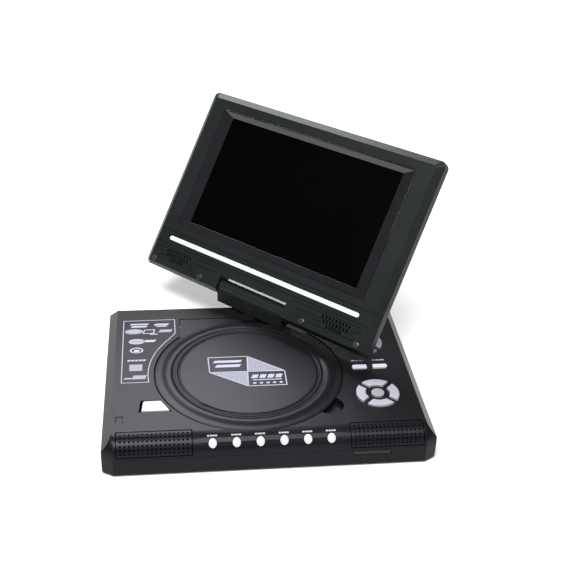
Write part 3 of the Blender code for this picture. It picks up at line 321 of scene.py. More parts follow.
def key_material(painted_shade=1.0):
    """The keys' moulding, darkened by a factor of painted shade, so that keys of one white plastic become lit
    and shaded copies of one material.
    """
    # painted shade: the one key colour is multiplied by the factor
    colour = [c * painted_shade for c in colours().keys]
    name = f"key {painted_shade}"
    return moulded(name, colour, 0.36, grain=0.0008, bump=0.12, mottle=0.03, Specular_IOR_Level=0.3)


def printing_material():
    return moulded("pale printing", colours().printing, 0.55, grain=0.0003, bump=0.1, mottle=0.06)


def gloss_material():
    return moulded("black gloss", (0.006, 0.006, 0.008), 0.12, grain=0.004, bump=0.03, Coat_Weight=0.6)


def rubber_material():
    return moulded("black rubber", (0.012, 0.012, 0.012), 0.75, grain=0.0004, bump=0.5)


def steel_material():
    return brushed("satin steel", (0.55, 0.56, 0.58), 0.32, 1.0)


def inner_material():
    return moulded("dark grey moulding", (0.05, 0.05, 0.055), 0.5, grain=0.0006, bump=0.25)


# ---------------------------------------------------------------- mesh tools


def meshed(name, builder):
    """Turns a built mesh into an object in the scene."""
    bmesh.ops.recalc_face_normals(builder, faces=builder.faces)
    mesh = bpy.data.meshes.new(name)
    builder.to_mesh(mesh)
    builder.free()
    made = bpy.data.objects.new(name, mesh)
    bpy.context.scene.collection.objects.link(made)
    return made


def finished(name, builder, *about, **more):
    """Turns a built mesh into a piece. What follows the mesh is what dressed takes."""
    return dressed(meshed(name, builder), *about, **more)


def dressed(made, surface, body, slot, nodes=(), place=None, softened=0, segments=2, sharp=38):
    """Gives a piece its surface, place, soft edges and the body it rides on, and hides the frame parts that
    it stands for.
    """
    made.data.materials.clear()
    made.data.materials.append(surface)
    if place is not None:
        made.data.transform(place)
    shaded(made, softened, segments, sharp)
    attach(made, body)
    if nodes:
        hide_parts(*nodes)
    return made


def shaded(target, softened=0, segments=2, sharp=38):
    """Smooth shading, and a narrow rounding along the hard edges."""
    target.data.shade_smooth()
    target.data.set_sharp_from_angle(angle=math.radians(sharp))
    if softened:
        soft = target.modifiers.new("soft edges", "BEVEL")
        soft.width = softened
        soft.segments = segments
        soft.limit_method = "ANGLE"
        soft.angle_limit = math.radians(sharp)
    even = target.modifiers.new("even normals", "WEIGHTED_NORMAL")
    even.keep_sharp = True


def loft_into(builder, rings, closed_ends=True):
    """Adds a solid through rings of equal point counts."""
    loops = [[builder.verts.new(point) for point in ring] for ring in rings]
    count = len(rings[0])
    for lower, upper in zip(loops, loops[1:]):
        for i in range(count):
            j = (i + 1) % count
            builder.faces.new((lower[i], lower[j], upper[j], upper[i]))
    if closed_ends:
        builder.faces.new(loops[0])
        builder.faces.new(loops[-1])
    return loops


def prism_into(builder, outline, low, high):
    """Adds an outline in X and Y raised from low to high."""
    loft_into(builder, [[(x, y, z) for x, y in outline] for z in (low, high)])


def box_into(builder, low, high):
    outline = [(low[0], low[1]), (high[0], low[1]), (high[0], high[1]), (low[0], high[1])]
    prism_into(builder, outline, low[2], high[2])


def circle(radius, centre=(0, 0), sides=32, second_radius=None):
    other = second_radius or radius
    steps = [2 * math.pi * i / sides for i in range(sides)]
    return [(centre[0] + radius * math.cos(a), centre[1] + other * math.sin(a)) for a in steps]


def lathe_into(builder, profile, centre=(0, 0), sides=64, stretch=1.0):
    """Turns (radius, z) points about a vertical axis. A radius of 0 closes the form in a point."""
    rings = []
    for radius, z in profile:
        if radius <= 0:
            rings.append([builder.verts.new((*centre, z))])
        else:
            points = circle(radius, centre, sides, radius * stretch)
            rings.append([builder.verts.new((x, y, z)) for x, y in points])
    for lower, upper in zip(rings, rings[1:]):
        for i in range(sides):
            j = (i + 1) % sides
            if len(lower) == 1:
                builder.faces.new((lower[0], upper[j], upper[i]))
            elif len(upper) == 1:
                builder.faces.new((lower[i], lower[j], upper[0]))
            else:
                builder.faces.new((lower[i], lower[j], upper[j], upper[i]))
    for ring in (rings[0], rings[-1]):
        if len(ring) > 1:
            builder.faces.new(ring)


def strip_outline(points, width, closed=False):
    """The outline of a line of even width along points, mitred at its corners."""
    left, right = [], []
    count = len(points)
    for i, point in enumerate(points):
        here = Vector(point)
        before = Vector(points[i - 1]) if (i or closed) else None
        after = Vector(points[(i + 1) % count]) if (i < count - 1 or closed) else None
        first = (here - before).normalized() if before else (after - here).normalized()
        second = (after - here).normalized() if after else first
        normal = Vector((-first.y - second.y, first.x + second.x)).normalized()
        reach = width / 2 / max(0.3, normal.dot(Vector((-second.y, second.x))))
        left.append(tuple(here + normal * reach))
        right.append(tuple(here - normal * reach))
    return left, right


def line_into(builder, points, width, low, high, closed=False):
    """Adds a flat printed line of even width along points."""
    left, right = strip_outline(points, width, closed)
    count = len(points)
    corners = []
    for i in range(count):
        corners.append([builder.verts.new((*side[i], z)) for z in (low, high) for side in (left, right)])
    for i in range(count if closed else count - 1):
        a, b = corners[i], corners[(i + 1) % count]
        for p, q in ((0, 1), (1, 3), (3, 2), (2, 0)):
            builder.faces.new((a[p], a[q], b[q], b[p]))
    if not closed:
        for end in (corners[0], corners[-1]):
            builder.faces.new((end[0], end[1], end[3], end[2]))


def dressed_node(name, surface, softened=0.0):
    """Gives a piece of the solid frame its surface, smooth rounds and softened edges."""
    node = NODES[name]
    node.data.materials.clear()
    node.data.materials.append(surface)
    node.data.shade_smooth()
    for leftover in ("sharp_edge", "sharp_face", "custom_normal"):
        if leftover in node.data.attributes:
            node.data.attributes.remove(node.data.attributes[leftover])
    joined = node.modifiers.new("joined corners", "WELD")
    joined.merge_threshold = 0.002 * MM
    soft = node.modifiers.new("soft edges", "BEVEL")
    soft.width = softened or 0.08 * MM
    soft.segments = 2
    soft.limit_method = "ANGLE"
    soft.angle_limit = math.radians(28)
    node.modifiers.new("even normals", "WEIGHTED_NORMAL")


def combined(target, tool, operation):
    """Cuts or joins a tool, keeps the result as the target's own mesh and removes the tool."""
    step = target.modifiers.new("step", "BOOLEAN")
    step.solver = "EXACT"
    step.operation = operation
    step.object = tool
    graph = bpy.context.evaluated_depsgraph_get()
    result = bpy.data.meshes.new_from_object(target.evaluated_get(graph))
    target.modifiers.clear()
    target.data = result
    bpy.data.objects.remove(tool, do_unlink=True)
    return target


def shape(make, *arguments):
    """A scratch solid from one of the functions that add to a mesh."""
    builder = bmesh.new()
    make(builder, *arguments)
    return meshed("scratch", builder)


# ---------------------------------------------------------------- the player's own outlines


def lid_point(x, y):
    """A place on the lid, measured from its middle."""
    return HUB_X + x, HUB_Y + y


def roll_point(angle, offset=0.0):
    """A point in Y and Z on the front roll."""
    radius = ROLL_RADIUS + offset
    return ROLL_Y - radius * math.sin(angle), ROLL_Z + radius * math.cos(angle)


def roll_place(x, angle, offset=0.0):
    """Stands a small piece on the front roll: local Z points out of it and local Y up along it."""
    y, z = roll_point(angle, offset)
    return Matrix.Translation((x, y, z)) @ Matrix.Rotation(angle, 4, "X")


def screen_outline(inset, bottom_inset=None, steps=8):
    """The screen's rounded outline in X and Z."""
    low_inset = inset if bottom_inset is None else bottom_inset
    half, low, high = SCREEN_HALF - inset, SCREEN_LOW + low_inset, SCREEN_HIGH - inset
    radius = max(5 * MM - inset / 2, MM)
    points = []
    for side, upper, start in ((1, 1, 0), (-1, 1, 90), (-1, -1, 180), (1, -1, 270)):
        x = side * (half - radius)
        z = high - radius if upper > 0 else low + radius
        for i in range(steps + 1):
            angle = math.radians(start + 90 * i / steps)
            points.append((x + radius * math.cos(angle), z + radius * math.sin(angle)))
    return points


def screen_ring(y, inset, bottom_inset=None):
    return [(x, y, z) for x, z in screen_outline(inset, bottom_inset)]


def screen_spot(x, y, z, turn):
    """A place on the screen for a small round piece, turned about X so that it stands out of the face."""
    upright = Matrix.Rotation(math.radians(turn), 4, "X")
    return SCREEN_PLACE @ (Matrix.Translation((x, y, z)) @ upright)


def rectangle_ring(y, half, low, high):
    return [(-half, y, low), (half, y, low), (half, y, high), (-half, y, high)]


def stadium(left, right, low, high, round_left=True, round_right=True, steps=8):
    """A bar in X and Z with round ends."""
    radius = (high - low) / 2
    middle = (high + low) / 2
    points = []
    for side, rounded in ((1, round_right), (-1, round_left)):
        end = right if side > 0 else left
        if not rounded:
            points += [(end, middle - side * radius), (end, middle + side * radius)]
            continue
        for i in range(steps + 1):
            angle = math.radians(-90 * side + 180 * i / steps)
            centre = end - side * radius
            points.append((centre + radius * math.cos(angle), middle + radius * math.sin(angle)))
    return points


# ---------------------------------------------------------------- operators


class PLAYER_OT_housing(Operator):
    """Finishes the base's covers, window and feet"""

    bl_idname = "player.housing"
    bl_label = "Housing"

    def execute(self, context):
        for name in ("base_top_cover", "base_bottom_cover"):
            dressed_node(name, housing_material(), sizes().edge)
        for name in NODES:
            if name.startswith("foot_"):
                dressed_node(name, rubber_material(), sizes().edge)
        dressed_node("remote_window", housing_material(), 0.12 * MM)
        self.slot_cover()
        return {"FINISHED"}

    def slot_cover(self):
        """A soft cover with a pull lip that closes the card slot."""
        low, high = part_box("card_socket")
        left, right = ((low.x + high.x) / 2 + side * 13.6 * MM for side in (-1, 1))
        front = COVER_LOW.y
        builder = bmesh.new()
        box_into(builder, (left, front + 0.15 * MM, 9.15 * MM), (right, front + 1.5 * MM, 11.65 * MM))
        finished("card_slot_cover", builder, rubber_material(), "base", "rubber", softened=0.25 * MM)
        builder = bmesh.new()
        lip_low = (right - 0.9 * MM, front + 0.02 * MM, 9.5 * MM)
        box_into(builder, lip_low, (right - 0.3 * MM, front + 0.4 * MM, 11.3 * MM))
        finished("card_slot_lip", builder, rubber_material(), "base", "rubber", softened=0.08 * MM)


class PLAYER_OT_lid(Operator):
    """Builds the disc lid with its hollow, raised ring, plateau and finger ribs"""

    bl_idname = "player.lid"
    bl_label = "Disc Lid"

    def profile(self):
        """Half-section in millimetres from the underside of the rim to the middle."""
        rim = LID_RADIUS / MM
        from_rim = (
            (0, -2.6), (0, -0.9), (0.25, -0.45), (0.8, -0.12), (3.4, 0.0), (5.4, 0.14), (7.0, 0.5),
            (8.5, 0.9), (10.0, 1.13), (11.4, 1.17), (12.7, 1.02), (13.8, 0.62), (14.6, 0.35), (15.4, 0.42),
            (16.1, 0.72), (16.9, 0.82), (17.5, 0.62), (18.0, 0.22), (18.6, 0.16), (19.1, 0.4), (19.8, 0.56),
            (21, 0.6), (26, 0.62),
        )
        heights = [(rim - inwards, height) for inwards, height in from_rim]
        heights += [(30, 0.66), (12, 0.7), (0, 0.71)]
        return [(radius * MM, TOP + height * MM) for radius, height in heights]

    def execute(self, context):
        half = (LID_HIGH.x - LID_LOW.x) / 2
        tab_half = 51 * MM
        lid = shape(lathe_into, self.profile(), (HUB_X, HUB_Y), 144)
        tab_low = (HUB_X - tab_half, HUB_Y + tab_half / 2, TOP - 2.6 * MM)
        tab = shape(box_into, tab_low, (HUB_X + tab_half, LID_HIGH.y, TOP - 0.12 * MM))
        combined(lid, tab, "UNION")
        axis = JOINTS["lid_hinge"]["pos_m"]
        rib_low = (HUB_X - tab_half + MM, axis[1] - 2.6 * MM, LID_LOW.z)
        rib = shape(box_into, rib_low, (HUB_X + tab_half - MM, axis[1] + 2.6 * MM, TOP - 1.3 * MM))
        combined(lid, rib, "UNION")
        notch_low = (-10.6 * MM, axis[1], LID_LOW.z - MM)
        notch = shape(box_into, notch_low, (10.6 * MM, LID_HIGH.y + MM, LID_HIGH.z + MM))
        combined(lid, notch, "DIFFERENCE")
        surface = moulded(
            "lid housing", colours().housing, 0.34, grain=0.0007, bump=0.45, mottle=0.1,
            Specular_IOR_Level=0.16, Specular_Tint=HOUSING_TINT,
        )
        dressed(lid, surface, "lid", "housing", ["disc_lid"], softened=0.2 * MM, sharp=50)
        self.ribs(surface, half)
        return {"FINISHED"}

    def ribs(self, surface, half):
        """Short radial ribs in the groove at the lid's front and rear, for a fingertip."""
        builder = bmesh.new()
        for middle, spread, count in ((-90, 44, 63), (97, 8, 12)):
            for i in range(count):
                angle = math.radians(middle - spread + 2 * spread * i / (count - 1))
                turn = Matrix.Translation((HUB_X, HUB_Y, TOP)) @ Matrix.Rotation(angle, 4, "Z")
                inner, outer = half - 19.3 * MM, half - 17.0 * MM
                section = [(inner, 0.1 * MM), (inner, 0.5 * MM), (inner + 0.5 * MM, 0.74 * MM)]
                section += [(outer, 0.95 * MM), (outer, 0.2 * MM)]
                sides = [[turn @ Vector((x, y * MM, z)) for x, z in section] for y in (-0.28, 0.28)]
                loft_into(builder, sides)
        finished("lid_finger_ribs", builder, surface, "lid", "housing")


class PLAYER_OT_grilles(Operator):
    """Builds the two perforated speaker grilles that wrap over the front roll"""

    bl_idname = "player.grilles"
    bl_label = "Speaker Grilles"

    flat = 2 * MM
    end_angle = math.radians(88)
    sunk = 0.3 * MM
    thickness = 1.4 * MM
    border_x = 1.3 * MM
    border_y = 0.75 * MM
    gap = 0.35 * MM

    def section(self, distance, offset):
        if distance < self.flat:
            return ROLL_Y + self.flat - distance, TOP + offset
        return roll_point((distance - self.flat) / ROLL_RADIUS, offset)

    def execute(self, context):
        for side in ("left", "right"):
            low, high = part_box(f"speaker_grille_{side}")
            self.build(side, low.x + self.gap, high.x - low.x - 2 * self.gap)
        return {"FINISHED"}

    def build(self, side, start, width):
        length = self.flat + ROLL_RADIUS * self.end_angle - 1.5 * MM
        across, down = sizes().grille_columns, sizes().grille_rows
        columns = self.edges(width, across, self.border_x)
        rows = self.edges(length, down, self.border_y)
        builder = bmesh.new()
        points = {}

        def vertex(x, d, sheet):
            key = (round(x * 1e7), round(d * 1e7), sheet)
            if key not in points:
                offset = -self.sunk - sheet * self.thickness
                points[key] = builder.verts.new((start + x, *self.section(0.7 * MM + d, offset)))
            return points[key]

        last_column, last_row = len(columns) - 2, len(rows) - 2
        for i in range(last_column + 1):
            for j in range(last_row + 1):
                x0, x1, d0, d1 = columns[i], columns[i + 1], rows[j], rows[j + 1]
                if i in (0, last_column) and j in (0, last_row):
                    across_ends, down_ends = ((x0, x1) if i else (x1, x0)), ((d0, d1) if j else (d1, d0))
                    self.round_corner(builder, vertex, across_ends, down_ends)
                    continue
                xm, dm = (x0 + x1) / 2, (d0 + d1) / 2
                edge = [(x0, d0), (xm, d0), (x1, d0), (x1, dm), (x1, d1), (xm, d1), (x0, d1), (x0, dm)]
                inside = 0 < i < last_column and 0 < j < last_row
                if inside:
                    self.holed_cell(builder, vertex, edge, xm, dm)
                else:
                    for sheet in (0, 1):
                        builder.faces.new([vertex(x, d, sheet) for x, d in edge])
                outer_sides = (j == 0, i == last_column, j == last_row, i == 0)
                for outer, run in zip(outer_sides, ((0, 1, 2), (2, 3, 4), (4, 5, 6), (6, 7, 0))):
                    for a, b in zip(run, run[1:]):
                        if outer:
                            self.wall(builder, vertex, edge[a], edge[b])
        node = f"speaker_grille_{side}"
        finished(f"grille_{side}", builder, housing_material(), "base", "housing", [node])

    def round_corner(self, builder, vertex, across, down):
        """A corner of the panel: square at the first values, towards the holes, and round at the second."""
        (x_in, x_out), (d_in, d_out) = across, down
        arc = []
        for k in range(5):
            angle = math.radians(90 * k / 4)
            arc.append((x_in + (x_out - x_in) * math.cos(angle), d_in + (d_out - d_in) * math.sin(angle)))
        middle_x, middle_d = (x_in + x_out) / 2, (d_in + d_out) / 2
        outline = [(x_in, d_in), (middle_x, d_in)] + arc + [(x_in, middle_d)]
        for sheet in (0, 1):
            builder.faces.new([vertex(x, d, sheet) for x, d in outline])
        for a, b in zip(arc, arc[1:]):
            self.wall(builder, vertex, a, b)

    def edges(self, total, count, border):
        pitch = (total - 2 * border) / count
        return [0.0] + [border + pitch * i for i in range(count + 1)] + [total]

    def holed_cell(self, builder, vertex, edge, xm, dm):
        radius = sizes().grille_hole / 2
        hole = []
        for x, d in edge:
            angle = math.atan2(d - dm, x - xm)
            hole.append((xm + radius * math.cos(angle), dm + radius * math.sin(angle)))
        for k in range(8):
            n = (k + 1) % 8
            for sheet in (0, 1):
                ring = (edge[k], edge[n], hole[n], hole[k])
                builder.faces.new([vertex(x, d, sheet) for x, d in ring])
            self.wall(builder, vertex, hole[k], hole[n])

    def wall(self, builder, vertex, a, b):
        builder.faces.new((vertex(*a, 0), vertex(*b, 0), vertex(*b, 1), vertex(*a, 1)))


class PLAYER_OT_front_keys(Operator):
    """Builds the domed oval keys along the front roll"""

    bl_idname = "player.front_keys"
    bl_label = "Front Keys"

    def execute(self, context):
        stretch = 3.75 / 3.15
        profile = [(2.95 * MM, -4.8 * MM), (2.95 * MM, 0.55 * MM)]
        for i in range(1, 8):
            angle = math.radians(90 * i / 8)
            profile.append(((2.15 + 0.8 * math.cos(angle)) * MM, (0.55 + 0.75 * math.sin(angle)) * MM))
        profile += [(1.8 * MM, 1.42 * MM), (1.4 * MM, 1.51 * MM), (0.7 * MM, 1.57 * MM), (0, 1.59 * MM)]
        for i in range(1, 7):
            name = f"front_key_{i}"
            low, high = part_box(name)
            builder = bmesh.new()
            lathe_into(builder, profile, sides=40, stretch=stretch)
            place = roll_place((low.x + high.x) / 2, math.radians(48))
            finished(f"oval_key_{i}", builder, key_material(), name, "key", [name], place)
        return {"FINISHED"}


class PLAYER_OT_ring_keys(Operator):
    """Builds the two rings of four curved keys with a round key in the middle"""

    bl_idname = "player.ring_keys"
    bl_label = "Ring Keys"

    outer = 16.25 * MM
    inner = 9.1 * MM
    half_gap = 1.95 * MM

    def outline(self, quarter, centre, inset=0.0):
        outer, inner, half_gap = self.outer - inset, self.inner + inset, self.half_gap + inset
        middle = math.pi / 2 * quarter
        outer_angle = math.pi / 4 - math.asin(half_gap / outer)
        inner_angle = math.pi / 4 - math.asin(half_gap / inner)
        spread = [2 * i / 14 - 1 for i in range(15)]
        points = [(outer, middle + outer_angle * s) for s in spread]
        points += [(inner, middle - inner_angle * s) for s in spread]
        return [(centre[0] + r * math.cos(a), centre[1] + r * math.sin(a)) for r, a in points]

    def execute(self, context):
        for ring in ("upper", "lower"):
            low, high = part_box(f"{ring}_key_centre")
            centre = ((low.x + high.x) / 2, (low.y + high.y) / 2)
            for quarter, side in enumerate(("right", "up", "left", "down")):
                name = f"{ring}_key_{side}"
                builder = bmesh.new()
                below_top = ((-0.5, 0), (-0.16, 0.14), (0, 0.5), (0.1, 1.6))
                levels = [(low.z, 0)] + [(high.z + z * MM, inset) for z, inset in below_top]
                rings = []
                for z, inset in levels:
                    rings.append([(x, y, z) for x, y in self.outline(quarter, centre, inset * MM)])
                loft_into(builder, rings)
                # painted shade: the curved ring keys get the white key colour darkened to 0.62
                finished(f"{ring}_arc_{side}", builder, key_material(0.62), name, "key", [name], sharp=50)
            builder = bmesh.new()
            radius = (high.x - low.x) / 2 / MM - 0.4
            steps = ((radius, -0.5), (radius - 0.15, -0.16), (radius - 0.5, 0), (radius - 2, 0.08), (0, 0.12))
            profile = [(radius * MM, low.z)] + [(r * MM, high.z + z * MM) for r, z in steps]
            lathe_into(builder, profile, centre, 40)
            name = f"{ring}_key_centre"
            # painted shade: the round middle keys get the white key colour darkened to 0.48
            finished(f"{ring}_middle", builder, key_material(0.48), name, "key", [name], sharp=50)
        return {"FINISHED"}


class PLAYER_OT_bar_keys(Operator):
    """Builds the two bar keys between the rings and the lid's release key"""

    bl_idname = "player.bar_keys"
    bl_label = "Bar and Release Keys"

    def execute(self, context):
        rounding = {"softened": sizes().key_edge, "segments": 3}
        for side, name in ((-1, "bar_key_left"), (1, "bar_key_right")):
            low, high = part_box(name)
            middle_x, middle_y = (low.x + high.x) / 2, (low.y + high.y) / 2
            half, tall = (high.x - low.x) / 2, (high.y - low.y) / 2
            outline = []
            for i in range(9):
                angle = math.radians(-90 + 180 * i / 8)
                outline.append((half - 1.9 * MM + 1.9 * MM * math.cos(angle), tall * math.sin(angle)))
            cut = 0.3 * MM
            outline += [(-half + cut, tall), (-half, tall - cut), (-half, cut - tall), (-half + cut, -tall)]
            builder = bmesh.new()
            prism_into(builder, [(middle_x + side * x, middle_y + y) for x, y in outline], low.z, high.z)
            finished(name.replace("_key", ""), builder, key_material(), name, "key", [name], **rounding)
        low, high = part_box("lid_release_key")
        low.x += 1.0 * MM
        high.y -= 0.6 * MM
        corner = 2.2 * MM
        left_round = []
        for i in range(7):
            angle = math.radians(90 + 90 * i / 6)
            x = low.x + corner + MM + corner * math.cos(angle)
            left_round.append((x, high.y - corner + corner * math.sin(angle)))
        right_top = low.x + 14 * MM
        outline = left_round + [(low.x, low.y + 0.4 * MM), (low.x + 0.4 * MM, low.y)]
        outline += [(high.x - 0.5 * MM, low.y), (high.x, low.y + 0.4 * MM), (right_top, high.y)]
        builder = bmesh.new()
        prism_into(builder, outline, low.z, high.z)
        # painted shade: the release key gets the white key colour darkened to 0.8
        finished("release", builder, key_material(0.8), "lid_release", "key", ["lid_release_key"], **rounding)
        return {"FINISHED"}


class PLAYER_OT_printing(Operator):
    """Prints the outlines and plain symbols on the base and the lid"""

    bl_idname = "player.printing"
    bl_label = "Printing"

    def execute(self, context):
        self.side_panel()
        self.lid_badge()
        self.key_marks()
        return {"FINISHED"}

    def side_panel(self):
        """A printed frame left of the lid that holds a column of plain symbols."""
        outline = [(-96.5, 75.6), (-55.3, 76.0), (-55.1, 55.8)]
        for degrees in range(142, 187, 4):
            angle = math.radians(degrees)
            outline.append((76.6 * math.cos(angle), 76.6 * math.sin(angle)))
        outline += [(-75.9, -9.5), (-96.3, -9.5)]
        low, high = TOP, TOP + INK
        builder = bmesh.new()
        points = [lid_point(x * MM, y * MM) for x, y in outline]
        line_into(builder, points, sizes().line, low, high, closed=True)
        top_bars = [(-84, 70.2, 7.2, 1.0), (-84, 66.8, 6.2, 1.2)]
        top_bars += [(-66, 69.2, 5.6, 1.2), (-66, 66.6, 4.2, 0.7)]
        for bar in top_bars:
            self.bar(builder, *bar, low, high, 1.2)
        frame = [(-80.6, 56.6), (-72.4, 56.6), (-71.6, 61.6), (-79.6, 61.6)]
        line_into(builder, [lid_point(x * MM, y * MM) for x, y in frame], 0.9 * MM, low, high, closed=True)
        self.bar(builder, -72.2, 55.2, 3.0, 0.6, low, high, 0.5)
        for radius, tall in ((6.9, 3.3), (3.2, 1.5)):
            ring = [lid_point(x * MM, y * MM) for x, y in circle(radius, (-88, 59.6), 28, tall)]
            line_into(builder, ring, 0.5 * MM, low, high, closed=True)
        ring = [lid_point(x * MM, y * MM) for x, y in circle(5.8, (-85.6, 45.2), 28, 3.2)]
        line_into(builder, ring, 1.0 * MM, low, high, closed=True)
        self.bar(builder, -75.5, 45.6, 4.5, 1.5, low, high, 1.5)
        ring = [lid_point((-85.6 + a) * MM, (32.8 + b) * MM) for a, b in circle(4.6, (0, 0), 28, 3.4)]
        line_into(builder, ring, 1.2 * MM, low, high, closed=True)
        self.bar(builder, -85.6, 31.6, 2.2, 2.2, low, high, 0)
        for i in range(5):
            self.bar(builder, -91.2 + 2.9 * i, 19.2, 1.1, 1.0, low, high, 0.7)
        self.bar(builder, -91.4, -4.2, 2.8, 0.7, low, high, 0.5)
        finished("side_symbols", builder, printing_material(), "base", "key")
        builder = bmesh.new()
        for x, y, half, tall in ((-88, 59.6, 6.4, 2.8), (-85.6, 45.2, 5.2, 2.6)):
            oval = [lid_point(a * MM, b * MM) for a, b in circle(half, (x, y), 28, tall)]
            prism_into(builder, oval, low, high - 0.02 * MM)
        self.bar(builder, -62.8, 59.6, 5.0, 1.9, low, high, 1.5)
        self.bar(builder, -85.8, 9.6, 4.9, 4.2, low, high, 0)
        self.bar(builder, -83.0, -2.8, 5.0, 2.4, low, high, 1.0)
        finished("side_emblems", builder, hatch_material(), "base", "key")

    def bar(self, builder, x, y, half, tall, low, high, slant):
        """A small printed bar, leaning by slant. Sizes are millimetres on the lid's axes."""
        lean = slant / 2
        corners = ((-half - lean, -tall), (half - lean, -tall), (half + lean, tall), (-half + lean, tall))
        prism_into(builder, [lid_point((x + a) * MM, (y + b) * MM) for a, b in corners], low, high)

    def lid_badge(self):
        """A six-sided printed badge: two dark panels with plain marks and two hatched ones."""
        low, high = TOP + 0.55 * MM, TOP + 0.86 * MM
        corners = {
            "a": (-30.4, 18.4), "b": (0.1, 18.5), "c": (27.4, -2.0), "d": (27.2, -19.9), "e": (-1.9, -20.0),
            "f": (-30.0, -1.2), "m": (-1.0, -1.5),
        }
        point = {k: lid_point(x * MM, y * MM) for k, (x, y) in corners.items()}
        builder = bmesh.new()
        line_into(builder, [point[k] for k in "abcdef"], 0.8 * MM, low, high, closed=True)
        for run in ("bme", "fmc"):
            line_into(builder, [point[k] for k in run], 0.8 * MM, low, high)
        for x, y, half, tall in ((-15.6, 12.4, 10.6, 1.5), (-15.4, 6.6, 9.4, 1.7)):
            self.bar(builder, x, y, half, tall, low, high, 2)
        for i in range(4):
            self.bar(builder, 4.0 + 6.1 * i, -8.2, 2.3, 2.3, low, high, 1.6)
        self.bar(builder, 13.2, -12.6, 11.0, 0.5, low, high, 0.5)
        for i in range(5):
            self.bar(builder, 3.2 + 5.0 * i, -16.6, 1.2, 0.9, low, high, 0.3)
        finished("lid_badge_lines", builder, printing_material(), "lid", "key")
        self.hatched("lid_badge_right", [point[k] for k in "bcm"], low, high)
        self.hatched("lid_badge_left", [point[k] for k in "fme"], low, high)

    def hatched(self, name, triangle, low, high):
        builder = bmesh.new()
        prism_into(builder, triangle, low, high - 0.06 * MM)
        finished(name, builder, hatch_material(), "lid", "key")

    def key_marks(self):
        """A short plain mark above each key."""
        builder = bmesh.new()
        for i in range(1, 7):
            low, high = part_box(f"front_key_{i}")
            x = (low.x + high.x) / 2
            for dx, half in ((-2.9, 0.8), (-1.0, 0.7), (0.7, 0.7), (2.5, 0.8)):
                corners = []
                for angle in (math.radians(20), math.radians(25.5)):
                    for offset in (0, INK):
                        corners.append((angle, offset))
                rings = []
                for a in (x + (dx - half) * MM, x + (dx + half) * MM):
                    rings.append([(a, *roll_point(*corners[k])) for k in (0, 1, 3, 2)])
                loft_into(builder, rings)
        for name in ("bar_key_left", "bar_key_right"):
            low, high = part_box(name)
            x, y = (low.x + high.x) / 2, high.y + 6.2 * MM
            for dx, half in ((-3.6, 1.1), (-0.7, 1.2), (2.2, 1.1), (4.4, 0.6)):
                left, right = x + (dx - half) * MM, x + (dx + half) * MM
                box_into(builder, (left, y, TOP), (right, y + 1.3 * MM, TOP + INK))
        finished("key_marks", builder, printing_material(), "base", "key")


